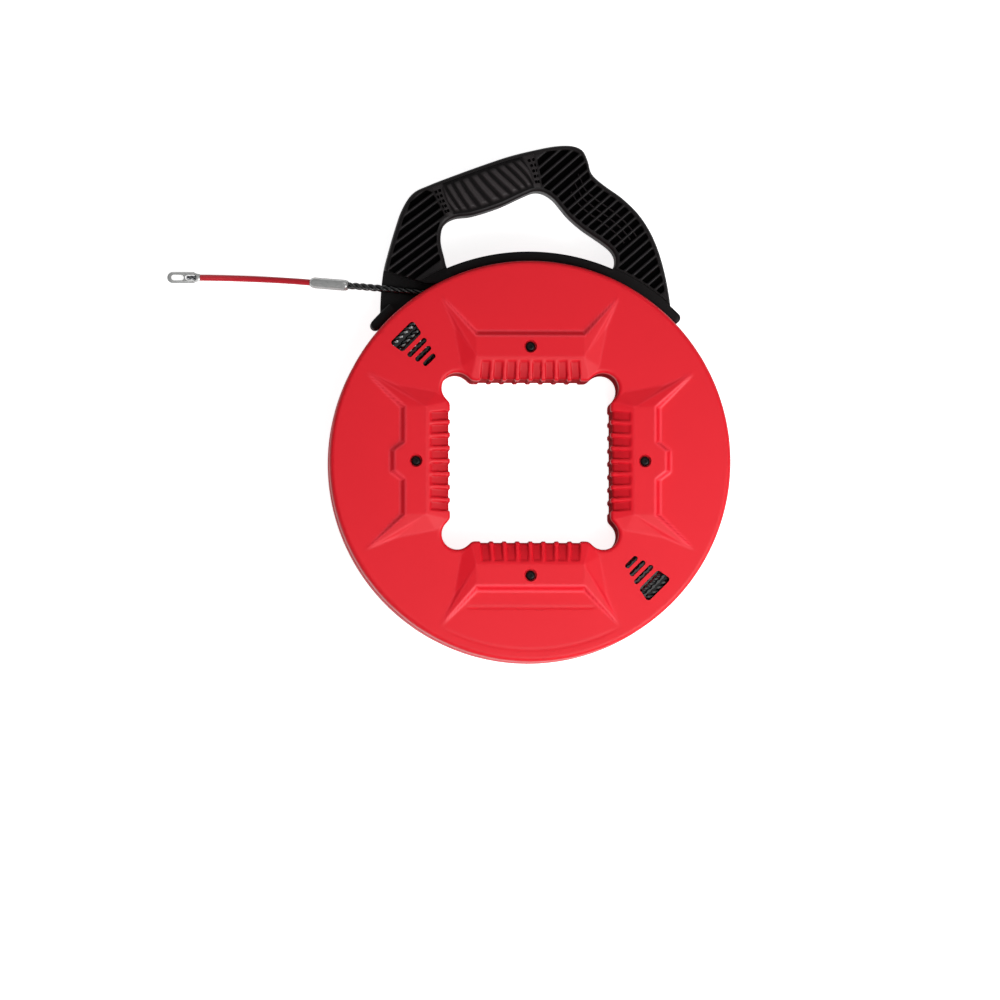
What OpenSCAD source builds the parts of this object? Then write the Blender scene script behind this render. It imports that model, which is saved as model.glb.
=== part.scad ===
// Fish tape reel: a round two-part case holds the coiled tape and spins under a
// carrying handle. A rail clamped between the handle halves runs in the gap
// between the two rims, and the tape leaves through the handle's left foot.
// The reel lies on its back: +Z is the spin axis, +Y points from hub to handle.

/* [Case] */
// Outside diameter of the case
case_d = 305; // [295:1:325]
// Thickness of the case over its raised pads
case_t = 66; // [62:1:76]
// Rise of each pad over the face round it
pad_rise = 4; // [3:0.5:5]
// Wall thickness of the case
wall = 3; // [2.5:0.5:3.5]
// Gap between the front rim and the back rim
slot_w = 10; // [9:0.5:12]
// Radius that rounds each face into its rim
rim_round = 3.5; // [3:0.5:5]

/* [Hub opening] */
// Half the width of the square opening
hub_half = 61; // [58:0.5:63]
// Radius of the round lobe in each corner
lobe_r = 12; // [11:0.5:13]
// Reach of each lobe past the flat sides
lobe_reach = 6.5; // [5.5:0.5:7.5]
// Wall of the inner drum that the tape lies round
drum_wall = 2.5; // [2:0.5:3.5]

/* [Pads] */
// Width of the grip slope from the opening up to the pad
slope_w = 18; // [16:0.5:20]
// Width of the flat top of each pad
plateau_w = 16; // [14:0.5:18]
// Width of the step at the outer side of each pad
step_w = 4; // [3:0.5:6]
// Half-length of each pad's flat top
pad_half = 41; // [38:0.5:43]
// Half-length of each pad's foot beside the opening
foot_half = 52.5; // [50:0.5:55]
// Angle of each horn's tip from the middle of its pad
horn_angle = 28.4; // [26:0.2:30]
// Radius of the swelling round the side pads' screws
swell_r = 10; // [8:0.5:12]
// Grip grooves on each side of the opening
groove_n = 8; // [5:1:8]
// Spacing of the grip grooves
groove_pitch = 9.75; // [9:0.25:10]
// Radius of each grip groove
groove_r = 4; // [3.5:0.25:4.5]
// Depth of each grip groove
groove_depth = 1.6; // [1:0.2:2]
// Depth of the flute that carries each groove on down the opening's wall
flute_depth = 1.1; // [0.8:0.1:1.4]

/* [Windows] */
// Radial width of each large window
window_w = 12; // [10:0.5:14]
// Length of each large window round the case
window_l = 23; // [18:0.5:28]
// Width of the three small slots inboard of it
vent_w = 3.3; // [2.5:0.1:4]
// Length of the longest small slot
vent_l = 18.5; // [14:0.5:21]

/* [Rail and saddle] */
// Running gap between the rail or the saddle and the rims
run_gap = 0.4; // [0.3:0.05:0.6]
// Thickness of the rail's flange inside the rims
flange_t = 3; // [2.5:0.25:3.5]
// Half the width of the rail's flange
flange_half = 9; // [8:0.5:11]
// Thickness of the saddle round the rims
saddle_t = 7.8; // [7:0.2:9]
// Half the width of the saddle
saddle_half = 10.6; // [10:0.2:12.6]
// Angle of the saddle's right end
saddle_a0 = 44.7; // [43:0.1:47]
// Angle of the saddle's left end
saddle_a1 = 138.2; // [137:0.1:140]

/* [Handle] */
// Thickness of the whole handle
handle_t = 32; // [28:1:36]
// Rounding of the handle's long edges
edge_r = 3.5; // [3:0.5:4]
// Width of the smooth border round the ribbed faces
border_w = 4.2; // [4.1:0.1:5.5]
// Depth of the slots between the ribs
rib_depth = 6; // [4:0.5:6.5]
// Spacing of the ribs
rib_pitch = 6.4; // [5.8:0.2:7.2]
// Thickness of each rib
rib_t = 2.4; // [2:0.2:2.8]
// Depth of the seat of each soft grip
grip_seat = 2.5; // [2:0.25:3]
// Crown of each soft grip over its edges
grip_crown = 2; // [1:0.25:2.5]
// Ribs on each soft grip
grip_n = 9; // [6:1:11]

/* [Tape] */
// Diameter of the twisted tape
tape_d = 5.5; // [5:0.1:5.8]
// Diameter of the leader
leader_d = 4.8; // [4.4:0.1:5]
// Diameter of the ferrule
ferrule_d = 8.6; // [8:0.1:9.4]
// Length of the pull eye
eye_l = 25; // [22:0.5:28]
// Width of the pull eye
eye_w = 8.6; // [8:0.1:9.4]
// Thickness of the pull eye
eye_t = 5; // [4.8:0.1:5.2]

/* [Fasteners] */
// Diameter of the case and handle screws
screw_d = 4; // [3.5:0.1:4.5]
// Diameter of their heads
head_d = 8; // [7:0.1:8.6]
// Diameter of the small screws in the saddle and the tape clip
small_d = 2.8; // [2.5:0.1:3]
// Clearance of a screw in its hole and of a head in its seat
screw_gap = 0.2; // [0.1:0.05:0.3]

/* [Hidden] */
$fn = 64;
over = 1;                                     // how far a cutter runs past a face
sink = 0.5;                                   // how far a raised form is sunk into its face

mid_z = case_t / 2;                           // plane between the two case halves
case_r = case_d / 2;
face_z = mid_z - pad_rise;                    // low face, measured from the middle plane
lobe_c = hub_half + lobe_reach - lobe_r;
drum_in = lobe_c * sqrt(2) + lobe_r + wall;
drum_out = drum_in + drum_wall;
rim_in = case_r - wall;
inner_round = rim_round;

pad_in = hub_half + slope_w;
pad_out = pad_in + plateau_w;
tip_r = case_r - 10.5;                        // where the pads' horns end
screw_r = pad_in + plateau_w / 2;
boss_r = screw_d / 2 + 3;
head_h = 2.8;
head_sunk = 1.2;                              // how deep each case screw's head lies
small_head = small_d * 1.7;
screw_bite = 16;                              // how far a case screw reaches into the back
slope_a = atan(pad_rise / slope_w);
window_r = tip_r - window_w / 2 - 3;

flange_out = rim_in - run_gap;
flange_in = flange_out - flange_t;
web_half = slot_w / 2 - run_gap;
saddle_in = case_r + run_gap;
saddle_out = saddle_in + saddle_t;
saddle_mid = (saddle_in + saddle_out) / 2;
saddle_relief = 0.6;                          // step in the legs round the saddle
tongue_half = 3;
tongue_out = saddle_out - 2.1;
tongue_gap = 0.15;
web_out = saddle_in - tongue_gap;
saddle_screw_r = saddle_in + 2.8;
saddle_screw_a = [58, 82, 106];
saddle_bite = 7;                              // how far a saddle screw reaches past the middle
shoe_a0 = 131.5;                              // right end of the left finger and its shoe
shoe_screw_a = 135.5;

half_t = handle_t / 2;
bore_up = half_t - rib_depth - 1.5;           // pilot bore in the front half
core_d = leader_d * 0.7;
core_l = 9.2;                                 // visible and crimped length of the leader's core
panel_z = tape_d / 2 + 0.8;                   // guide panel below the middle plane
coil_in = drum_out + 8;
coil_out = case_r - 14;
coil_half = face_z - wall - 0.3;
clip_a = 45;
clip_z = -14;
seat_r = drum_out + 0.3;                      // flat seat of the tape clip
clip_w = 8;
clip_t = 1;

// The handle's plan and the tape's way through it are drawn for a 305 mm case
// and grow with the case, so that they keep their seat on its rims.
plan_k = case_d / 305;

// Both edges of the handle's bar, from the left foot round to the right foot:
// the outer edge's x and y, then the inner edge's.
bar_plan = [
    [-113.2, 104, -56, 138], [-112.6, 126, -62.6, 147.5], [-110.6, 146, -65, 156],
    [-106.5, 162.5, -67.2, 165], [-102, 178, -67.5, 172], [-96.5, 193.5, -66, 178.5],
    [-88.5, 204.8, -62, 183.5], [-76, 211, -55, 186.5], [-58, 218, -42.5, 188.2],
    [-37, 225.7, -22.5, 194.6], [-16, 232.8, -6, 202.2], [4, 237.8, 3.5, 206],
    [20, 240.8, 11, 205.2], [32.5, 241, 18, 200.8], [40.5, 237.5, 23.5, 194.5],
    [44.5, 229.5, 28, 189], [47.6, 219.6, 33, 184], [57, 211, 41, 177.4],
    [70, 201.8, 49.5, 171.6], [82, 190.4, 57, 166.4], [91, 177.6, 62.5, 161.5],
    [97.5, 163.5, 65.3, 156], [102.5, 147, 65, 150], [106.3, 128, 61.5, 145.5],
    [109, 106, 55, 136]
];
bar = bar_plan * plan_k;
bar_end = len(bar) - 1;
grip_s0 = 6.9;                                // stations where the soft grip starts and ends
grip_s1 = 11.1;
row_l = 160;                                  // uncut length of a row of slots
grip_gap = 0.2;                               // clearance of a soft grip in its seat
left_s1 = 6.6;                                // end of the left ribs
right_s0 = 11.35;                             // start of the right ribs
waffle_s0 = 14.5;                             // stretch with cross ribs
waffle_s1 = 20;
handle_screw_s = [[3, 0.5], [6, 0.5], [17.5, 0.5], [21, 0.5]];

// Routes of the tape and its leader, from the coil out to the pull eye. The way
// inside the case grows with it, and the free end moves along with the exit.
run_plan = [
    [12, 141.5], [0, 142], [-12, 141.5], [-25, 139.8], [-37, 137.1],
    [-48, 133.7], [-58, 130.9], [-67, 129.3], [-77, 129.4], [-87, 130.2]
];
run_route = [for (p = run_plan) [p.x * plan_k, p.y * plan_k, mid_z]];
exit_at = run_route[len(run_route) - 1];
tail_plan = [
    [0, 0, 0], [-7, 0.7, 0], [-14, 1.4, 0], [-21, 2.1, 0], [-28, 2.8, -0.2],
    [-35, 3.5, -1.1], [-42, 4.2, -2.8], [-50.3, 5, -5.5]
];
leader_plan = [
    [-79, 7.9, -15.4], [-87, 8.7, -18.2], [-96, 9.5, -21.4], [-105, 10.2, -24.4],
    [-114, 10.8, -27], [-123, 11.3, -28.9], [-133, 11.7, -30], [-143, 12, -30.4],
    [-153, 12.2, -30.4], [-163, 12.3, -30.4]
];
tail_route = [for (p = tail_plan) exit_at + p];
leader_route = [for (p = leader_plan) exit_at + p];
ferrule_ends = [tail_route[len(tail_route) - 1], leader_route[0]];
eye_at = leader_route[len(leader_route) - 1];

// Points of an arc, both ends included
function arc(c, r, a0, a1, n) =
    [for (i = [0:n]) c + r * [cos(a0 + (a1 - a0) * i / n), sin(a0 + (a1 - a0) * i / n)]];

// Smooth curve through the points p at the real-valued station s
function blend(p, s) =
    let (
        n = len(p) - 1,
        i = min(floor(s), n - 1),
        t = s - i,
        a = p[max(i - 1, 0)],
        b = p[i],
        c = p[i + 1],
        d = p[min(i + 2, n)]
    )
    0.5 * (2 * b + (c - a) * t + (2 * a - 5 * b + 4 * c - d) * t ^ 2 + (3 * b - a - 3 * c + d) * t ^ 3);

// Closed solid through a list of rings that all have the same number of points
module skin(rings) {
    n = len(rings[0]);
    last = (len(rings) - 1) * n;
    sides = [
        for (k = [0:len(rings) - 2], i = [0:n - 1])
        let (a = k * n + i, b = k * n + (i + 1) % n)
        each [[a, b, b + n], [a, b + n, a + n]]
    ];
    caps = [[for (i = [n - 1:-1:0]) i], [for (i = [0:n - 1]) last + i]];
    polyhedron([for (r = rings, p = r) p], concat(sides, caps));
}

// Round tube along a route that never stands upright
module tube(route, d, sides) {
    n = len(route) - 1;
    rings = [
        for (k = [0:n])
        let (
            t = route[min(k + 1, n)] - route[max(k - 1, 0)],
            u = cross(t, [0, 0, 1]) / norm(cross(t, [0, 0, 1])),
            v = cross(u, t) / norm(t)
        )
        [
            for (i = [0:sides - 1])
            let (a = 360 * i / sides)
            route[k] + d / 2 * (cos(a) * u + sin(a) * v)
        ]
    ];
    skin(rings);
}

// Places children with +Z running from a to b
module along(a, b) {
    v = b - a;
    translate(a) rotate([0, acos(v.z / norm(v)), atan2(v.y, v.x)]) children();
}

// Pan-head screw with its seat at z = 0 and its shank below
module screw(d, head, height, length) {
    difference() {
        union() {
            cylinder(d = head, h = height * 0.6);
            translate([0, 0, height * 0.6]) cylinder(d1 = head, d2 = head * 0.7, h = height * 0.4);
            translate([0, 0, -length]) cylinder(d = d, h = length + 0.1);
        }
        translate([0, 0, height * 0.4]) cylinder(d = head * 0.45, h = height, $fn = 6);
    }
}

// Long hole with round ends, along X
module slot_shape(l, w) {
    polygon(concat(
        arc([l / 2 - w / 2, 0], w / 2, -90, 90, 6),
        arc([w / 2 - l / 2, 0], w / 2, 90, 270, 6)
    ));
}

// ---- case ----

// Section of one case half: drum wall, face and rounded rim
module half_section() {
    edge_z = face_z - rim_round;
    polygon(concat(
        [[drum_in, 0], [drum_out, 0], [drum_out, face_z - wall]],
        arc([rim_in - inner_round, face_z - wall - inner_round], inner_round, 90, 0, 6),
        [[rim_in, slot_w / 2], [case_r, slot_w / 2]],
        arc([case_r - rim_round, edge_z], rim_round, 0, 90, 8),
        [[drum_in, face_z]]
    ));
}

module hub_shape() {
    square(2 * hub_half, center = true);
    for (x = [-1, 1], y = [-1, 1]) translate([x, y] * lobe_c) circle(lobe_r);
}

// Raised pad on the +Y side with its grip slope and two horns
module pad() {
    top = mid_z;
    foot = face_z - sink;
    base = foot - 1;
    foot_y = hub_half + slope_w * 0.6;
    tip = (tip_r + 1) * [sin(horn_angle), cos(horn_angle)];
    side = [
        [pad_half + 4.5, hub_half - over], [foot_half, foot_y],
        [(foot_half + tip.x) / 2 - 2, (foot_y + tip.y) / 2 + 4], tip,
        [pad_half, pad_out + step_w]
    ];
    ring = concat(side, [for (i = [len(side) - 1:-1:0]) [-side[i].x, side[i].y]]);
    n = len(ring);
    points = concat(
        [for (p = ring) [p.x, p.y, base]],
        [for (p = ring) [p.x, p.y, foot]],
        [[pad_half, pad_in, top], [pad_half, pad_out, top]],
        [[-pad_half, pad_out, top], [-pad_half, pad_in, top]]
    );
    t = 2 * n;
    walls = [for (i = [0:n - 1]) [i, (i + 1) % n, n + (i + 1) % n, n + i]];
    roof = [
        [t, t + 1, t + 2, t + 3], [t, t + 3, n + 9, n], [t, n, n + 1], [t, n + 1, n + 2],
        [t, n + 2, n + 3], [t, n + 3, t + 1], [t + 1, n + 3, n + 4], [t + 1, n + 4, n + 5, t + 2],
        [t + 2, n + 5, n + 6], [t + 2, n + 6, t + 3], [t + 3, n + 6, n + 7], [t + 3, n + 7, n + 8],
        [t + 3, n + 8, n + 9]
    ];
    faces = concat([[for (i = [n - 1:-1:0]) i]], walls, roof);
    polyhedron(points, [for (f = faces) [for (i = [len(f) - 1:-1:0]) f[i]]]);
}

// Room under one pad, with the screw boss left standing in it
module pad_pocket() {
    low = face_z - slope_w / 4 - pad_rise;
    difference() {
        intersection() {
            translate([0, 0, -over]) linear_extrude(face_z) intersection() {
                circle(drum_in - 0.01);
                translate([-(lobe_c - lobe_r - wall), hub_half + wall])
                    square([2 * (lobe_c - lobe_r - wall), drum_in]);
            }
            rotate([90, 0, 90]) linear_extrude(case_r, center = true) polygon([
                [hub_half, -over * 2], [hub_half, low], [pad_in, face_z - wall],
                [case_r, face_z - wall], [case_r, -over * 2]
            ]);
        }
        translate([0, screw_r, -over * 2]) cylinder(r = boss_r, h = case_t);
    }
}

module grooves() {
    long = slope_w / cos(slope_a);
    flute_r = groove_r - 0.6;
    for (i = [0:groove_n - 1]) translate([(i - (groove_n - 1) / 2) * groove_pitch, hub_half, 0]) {
        translate([0, 0, face_z]) rotate([slope_a - 90, 0, 0])
            translate([0, groove_depth - groove_r, -3]) cylinder(r = groove_r, h = long, $fn = 32);
        translate([0, flute_depth - flute_r, -over]) cylinder(r = flute_r, h = case_t, $fn = 32);
    }
}

// Large window and its three small slots, on the +X side
module window() {
    c = 2.5;
    x = window_w / 2 - c;
    y = window_l / 2 - c;
    translate([window_r, 0]) polygon(concat(
        arc([x, -y], c, -90, 0, 3), arc([x, y], c, 0, 90, 3),
        arc([-x, y - 1.3], c, 90, 180, 3), arc([-x, 1.3 - y], c, 180, 270, 3)
    ));
    for (i = [0:2])
        translate([window_r - window_w / 2 - 5.2 - i * vent_w * 2, 0]) rotate(90)
            slot_shape(vent_l * (1 - i * 0.19), vent_w);
}

// One case half above the middle plane at z = 0
module case_half() {
    difference() {
        union() {
            rotate_extrude($fn = 128) half_section();
            cylinder(r = drum_in + 0.5, h = face_z, $fn = 128);
            for (a = [0:90:270]) rotate(a) pad();
            for (a = [90, 270])
                rotate(a) translate([0, pad_out - 2, face_z - sink])
                    cylinder(r1 = swell_r + step_w, r2 = swell_r, h = pad_rise + sink);
        }
        translate([0, 0, -over]) linear_extrude(case_t) hub_shape();
        for (a = [0:90:270]) rotate(a) pad_pocket();
        for (a = [0:90:270]) rotate(a) grooves();
        for (a = [135, 315]) rotate(a)
            translate([0, 0, face_z - wall - over]) linear_extrude(wall + 2 * over) window();
    }
}

module case_front() {
    seat = mid_z - head_h - head_sunk;
    color([0.86, 0.13, 0.18]) translate([0, 0, mid_z]) difference() {
        case_half();
        for (a = [0:90:270]) rotate(a) translate([0, screw_r, 0]) {
            translate([0, 0, -over]) cylinder(d = screw_d + 2 * screw_gap, h = case_t);
            translate([0, 0, seat]) cylinder(d = head_d + 4 * screw_gap, h = case_t);
        }
    }
}

module case_back() {
    color([0.86, 0.13, 0.18]) translate([0, 0, mid_z]) difference() {
        union() {
            mirror([0, 0, 1]) case_half();
            rotate(clip_a) translate([drum_in, -clip_w / 2 - 2, -face_z + wall / 2])
                cube([seat_r - drum_in, clip_w + 4, face_z - wall / 2]);
        }
        for (a = [0:90:270]) rotate(a) translate([0, screw_r, -screw_bite - over])
            cylinder(d = screw_d + 0.1, h = screw_bite + 2 * over);
        clip_sites() translate([0, 0, -4.5]) cylinder(d = small_d + 0.1, h = 6, $fn = 24);
    }
}

module case_screws() {
    seat = mid_z - head_h - head_sunk;
    color([0.12, 0.12, 0.13]) translate([0, 0, mid_z])
        for (a = [0:90:270]) rotate(a) translate([0, screw_r, seat])
            screw(screw_d, head_d, head_h, seat + screw_bite);
}

// ---- tape inside the case ----

module tape_coil() {
    r = tape_d / 2;
    color([0.13, 0.13, 0.14]) translate([0, 0, mid_z]) rotate_extrude($fn = 128) polygon(concat(
        arc([coil_out - r, r - coil_half], r, -90, 0, 3),
        arc([coil_out - r, coil_half - r], r, 0, 90, 3),
        arc([coil_in + r, coil_half - r], r, 90, 180, 3),
        arc([coil_in + r, r - coil_half], r, 180, 270, 3)
    ));
}

// Inner end of the tape: from the coil's inner side to the clip on the drum
module tape_inner_end() {
    start = seat_r + 0.3 + tape_d / 2;
    finish = coil_in - 0.1 - tape_d / 2;
    steps = 8;
    route = [
        for (i = [0:steps])
        let (t = i / steps, a = clip_a - 5 + 60 * t, r = start + (finish - start) * t ^ 2)
        [r * cos(a), r * sin(a), mid_z + clip_z]
    ];
    color([0.13, 0.13, 0.14]) tube(route, tape_d, 10);
}

// Places children on the clip's seat, +Z pointing away from the drum
module clip_seat() {
    rotate(clip_a) translate([seat_r, 0, clip_z]) rotate([0, 90, 0]) children();
}

module clip_sites() {
    clip_seat() for (x = [-1, 1]) translate([x * (tape_d / 2 + 4.5), 0, 0]) children();
}

module tape_clip() {
    in = tape_d / 2 + 0.4;
    up = tape_d + 0.5;
    end = tape_d / 2 + 7.5;
    color([0.6, 0.6, 0.62]) translate([0, 0, mid_z]) difference() {
        clip_seat() rotate([90, 0, 0]) linear_extrude(clip_w, center = true) polygon([
            [-end, 0], [-in, 0], [-in, up], [in, up], [in, 0], [end, 0], [end, clip_t],
            [in + clip_t, clip_t], [in + clip_t, up + clip_t], [-in - clip_t, up + clip_t],
            [-in - clip_t, clip_t], [-end, clip_t]
        ]);
        clip_sites() translate([0, 0, -over]) cylinder(d = small_d + 2 * screw_gap, h = 4, $fn = 24);
    }
}

module clip_screws() {
    color([0.6, 0.6, 0.62]) translate([0, 0, mid_z])
        clip_sites() translate([0, 0, clip_t]) screw(small_d, small_head, 1.4, 5);
}

// ---- handle ----

// Section of half a bar: distance across it and height, with rounded edges
function bar_section(w, h, r) = concat(
    [[0, 0]], arc([r, h - r], r, 180, 90, 3), arc([w - r, h - r], r, 90, 0, 3), [[w, 0]]
);

// Point of the bar at station s and distance d in from its inner edge
function bar_point(s, d) =
    let (b = blend(bar, s), o = [b[0], b[1]], i = [b[2], b[3]])
    i + (o - i) / norm(o - i) * d;

function bar_width(s) = let (b = blend(bar, s)) norm([b[0] - b[2], b[1] - b[3]]);

function stations(s0, s1, n) = [for (k = [0:n]) s0 + (s1 - s0) * k / n];

module bar_half() {
    skin([
        for (s = stations(0, bar_end, 2 * bar_end))
        [for (q = bar_section(bar_width(s), half_t, edge_r)) let (p = bar_point(s, q.x)) [p.x, p.y, q.y]]
    ]);
}

// Plan of the bar between two stations, set in from both edges
module bar_zone(s0, s1, inset) {
    list = stations(s0, s1, ceil(2 * (s1 - s0)));
    polygon(concat(
        [for (s = list) bar_point(s, inset)],
        [for (i = [len(list) - 1:-1:0]) bar_point(list[i], bar_width(list[i]) - inset)]
    ));
}

// Thin line along the bar at share t of its width
module bar_line(s0, s1, t, w) {
    list = stations(s0, s1, ceil(2 * (s1 - s0)));
    polygon(concat(
        [for (s = list) bar_point(s, bar_width(s) * t - w / 2)],
        [for (i = [len(list) - 1:-1:0]) bar_point(list[i], bar_width(list[i]) * t + w / 2)]
    ));
}

// Rows of slots with ribs between, leaning at angle a
module slot_rows(a, n, at) {
    translate(at) rotate(a) for (i = [-n:n])
        translate([-row_l / 2, i * rib_pitch]) square([row_l, rib_pitch - rib_t]);
}

module handle_screw_sites() {
    for (p = handle_screw_s) translate(bar_point(p[0], bar_width(p[0]) * p[1])) children();
}

// Slots of the ribbed faces in plan
module rib_plan() {
    difference() {
        union() {
            intersection() {
                bar_zone(0.5, left_s1, border_w);
                slot_rows(37, 12, bar_point(3, bar_width(3) / 2));
                translate([-130, 139] * plan_k) rotate(-17.5) square(90 * plan_k);
            }
            intersection() {
                bar_zone(right_s0, bar_end - 0.5, border_w);
                slot_rows(41, 17, bar_point(18, bar_width(18) / 2));
            }
        }
        for (t = [0.34, 0.5, 0.66]) bar_line(waffle_s0, waffle_s1, t, 1.2);
        circle(saddle_out + 3.5, $fn = 128);
    }
}

// Arc of the saddle above the middle plane, with a round end where asked. It
// starts inside the rims and stands too tall: reel_clearance() trims it to size.
module saddle_arc(a0, a1, ends) {
    rotate(a0) rotate_extrude(angle = a1 - a0, $fn = 128)
        translate([saddle_in - over, 0]) square([saddle_t + over, saddle_half + over]);
    for (a = ends) rotate(a) translate([saddle_mid, 0, 0])
        cylinder(d = saddle_t - 0.02, h = saddle_half + over);
}

// Groove for the rail's tongue
module tongue_groove() {
    rotate(saddle_a0 - 1) rotate_extrude(angle = saddle_a1 - saddle_a0 + 2, $fn = 128)
        translate([saddle_in - over, -tongue_half - tongue_gap])
            square([tongue_out + tongue_gap - saddle_in + over, 2 * (tongue_half + tongue_gap)]);
}

// Way for the tape through the left foot, in plan
module tape_way() {
    polygon(plan_k * [
        [-52, 123], [-52, 136.5], [-79, 136.5], [-130, 152], [-130, 100], [-90, 100], [-90, 123]
    ]);
}

module finger_sector() {
    polygon([
        [0, 0], (saddle_out + 0.01) * [cos(shoe_a0), sin(shoe_a0)],
        (saddle_out + 3) * [cos(shoe_a0 + 4), sin(shoe_a0 + 4)],
        (saddle_out + 8) * [cos(150), sin(150)]
    ]);
}

// Room for the case, with a step that leaves the saddle its width
module reel_clearance() {
    translate([0, 0, -case_t]) cylinder(r = saddle_in, h = 2 * case_t, $fn = 128);
    for (z = [saddle_half, -saddle_half - case_t]) translate([0, 0, z])
        cylinder(r = saddle_out + saddle_relief, h = case_t, $fn = 128);
}

module grip_seat_cut() {
    translate([0, 0, half_t - grip_seat]) linear_extrude(grip_seat + over)
        bar_zone(grip_s0, grip_s1, border_w - 1.5);
}

module handle_front() {
    color([0.13, 0.13, 0.14]) translate([0, 0, mid_z]) difference() {
        union() {
            bar_half();
            saddle_arc(saddle_a0, 125, [saddle_a0]);
        }
        reel_clearance();
        translate([0, 0, -over]) linear_extrude(case_t) tape_way();
        translate([0, 0, half_t - rib_depth]) linear_extrude(rib_depth + over) rib_plan();
        tongue_groove();
        grip_seat_cut();
        handle_screw_sites() translate([0, 0, -over]) cylinder(d = screw_d + 0.1, h = bore_up + over);
        for (a = saddle_screw_a) rotate(a) translate([saddle_screw_r, 0, -over])
            cylinder(d = small_d + 0.1, h = saddle_half - 1, $fn = 24);
    }
}

module handle_back() {
    head_z = half_t - head_h - 0.5;
    small_seat = saddle_half - 2;
    color([0.13, 0.13, 0.14]) translate([0, 0, mid_z]) difference() {
        union() {
            mirror([0, 0, 1]) bar_half();
            mirror([0, 0, 1]) saddle_arc(saddle_a0, saddle_a1, [saddle_a0, saddle_a1]);
            saddle_arc(shoe_a0, saddle_a1, [saddle_a1]);
        }
        reel_clearance();
        translate([0, 0, -panel_z]) linear_extrude(case_t) difference() {
            tape_way();
            finger_sector();
        }
        mirror([0, 0, 1]) translate([0, 0, half_t - rib_depth]) linear_extrude(rib_depth + over)
            difference() {
                rib_plan();
                handle_screw_sites() circle(head_d / 2 + 2.5);
            }
        tongue_groove();
        mirror([0, 0, 1]) grip_seat_cut();
        handle_screw_sites() {
            translate([0, 0, -half_t - over]) {
                cylinder(d = screw_d + 2 * screw_gap, h = half_t + 2 * over);
                cylinder(d = head_d + 2 * screw_gap, h = half_t + over - head_z);
            }
        }
        for (a = concat(saddle_screw_a, [shoe_screw_a])) rotate(a)
            translate([saddle_screw_r, 0, -saddle_half - over]) {
                cylinder(d = small_d + 2 * screw_gap, h = saddle_half + over + saddle_bite + 1, $fn = 24);
                cylinder(d = small_head + 0.3, h = saddle_half + over - small_seat, $fn = 24);
            }
    }
}

module handle_screws() {
    seat = half_t - head_h - 0.5;
    color([0.2, 0.2, 0.21]) translate([0, 0, mid_z]) handle_screw_sites()
        translate([0, 0, -seat]) mirror([0, 0, 1]) screw(screw_d, head_d, head_h, seat + bore_up - 0.5);
}

module saddle_screws() {
    seat = saddle_half - 2;
    color([0.2, 0.2, 0.21]) translate([0, 0, mid_z])
        for (a = concat(saddle_screw_a, [shoe_screw_a])) rotate(a)
            translate([saddle_screw_r, 0, -seat]) mirror([0, 0, 1])
                screw(small_d, small_head, 1.6, seat + saddle_bite);
}

// Soft grip seated in one handle half, ribbed across its crowned face
module grip_half() {
    inset = border_w - 1.5 + grip_gap;
    rings = 2 * grip_n;
    z0 = half_t - grip_seat;
    skin([
        for (k = [0:rings])
        let (
            s = grip_s0 + 0.04 + (grip_s1 - grip_s0 - 0.08) * k / rings,
            w = bar_width(s) - 2 * inset,
            rise = k % 2 == 0 ? 0 : grip_crown
        )
        [
            for (q = [
                [0, 0], [0, grip_seat], [0.2, grip_seat + 0.6 * rise], [0.4, grip_seat + rise],
                [0.6, grip_seat + rise], [0.8, grip_seat + 0.6 * rise], [1, grip_seat], [1, 0]
            ])
            let (p = bar_point(s, inset + q.x * w))
            [p.x, p.y, z0 + q.y]
        ]
    ]);
}

module grip_front() {
    color([0.09, 0.09, 0.1]) translate([0, 0, mid_z]) grip_half();
}

module grip_back() {
    color([0.09, 0.09, 0.1]) translate([0, 0, mid_z]) mirror([0, 0, 1]) grip_half();
}

// ---- rail ----

// T section: tongue between the handle halves, web in the gap, flange inside the rims
module rail_section() {
    polygon([
        [flange_in, -flange_half], [flange_out, -flange_half], [flange_out, -web_half],
        [web_out, -web_half], [web_out, -tongue_half], [tongue_out, -tongue_half],
        [tongue_out, tongue_half], [web_out, tongue_half], [web_out, web_half],
        [flange_out, web_half], [flange_out, flange_half], [flange_in, flange_half]
    ]);
}

module rail_arc(a0, a1, screws) {
    difference() {
        rotate(a0) rotate_extrude(angle = a1 - a0, $fn = 128) rail_section();
        for (a = screws) rotate(a) translate([saddle_screw_r, 0, -tongue_half - over])
            cylinder(d = small_d + 2 * screw_gap, h = 2 * (tongue_half + over), $fn = 24);
    }
}

module slide_rail() {
    color([0.2, 0.2, 0.21]) translate([0, 0, mid_z]) difference() {
        rail_arc(saddle_a0 + 1.5, 122, saddle_screw_a);
        translate([0, 0, -case_t]) linear_extrude(2 * case_t) tape_way();
    }
}

module end_shoe() {
    color([0.2, 0.2, 0.21]) translate([0, 0, mid_z])
        rail_arc(shoe_a0 + 0.3, saddle_a1 - 0.5, [shoe_screw_a]);
}

// ---- tape outside the coil, and its leader ----

module tape_run() {
    color([0.13, 0.13, 0.14]) tube(run_route, tape_d, 10);
}

module tape_tail() {
    color([0.13, 0.13, 0.14]) tube(tail_route, tape_d, 10);
}

module leader() {
    color([0.72, 0.1, 0.14]) tube(leader_route, leader_d, 10);
}

module ferrule() {
    long = norm(ferrule_ends[1] - ferrule_ends[0]);
    taper = 3;
    color([0.7, 0.7, 0.71]) along(ferrule_ends[0], ferrule_ends[1]) {
        cylinder(d1 = tape_d + 0.6, d2 = ferrule_d, h = taper);
        translate([0, 0, taper - 0.01]) cylinder(d = ferrule_d, h = long - 2 * taper + 0.02);
        translate([0, 0, long - taper]) cylinder(d1 = ferrule_d, d2 = leader_d + 0.6, h = taper);
    }
}

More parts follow.
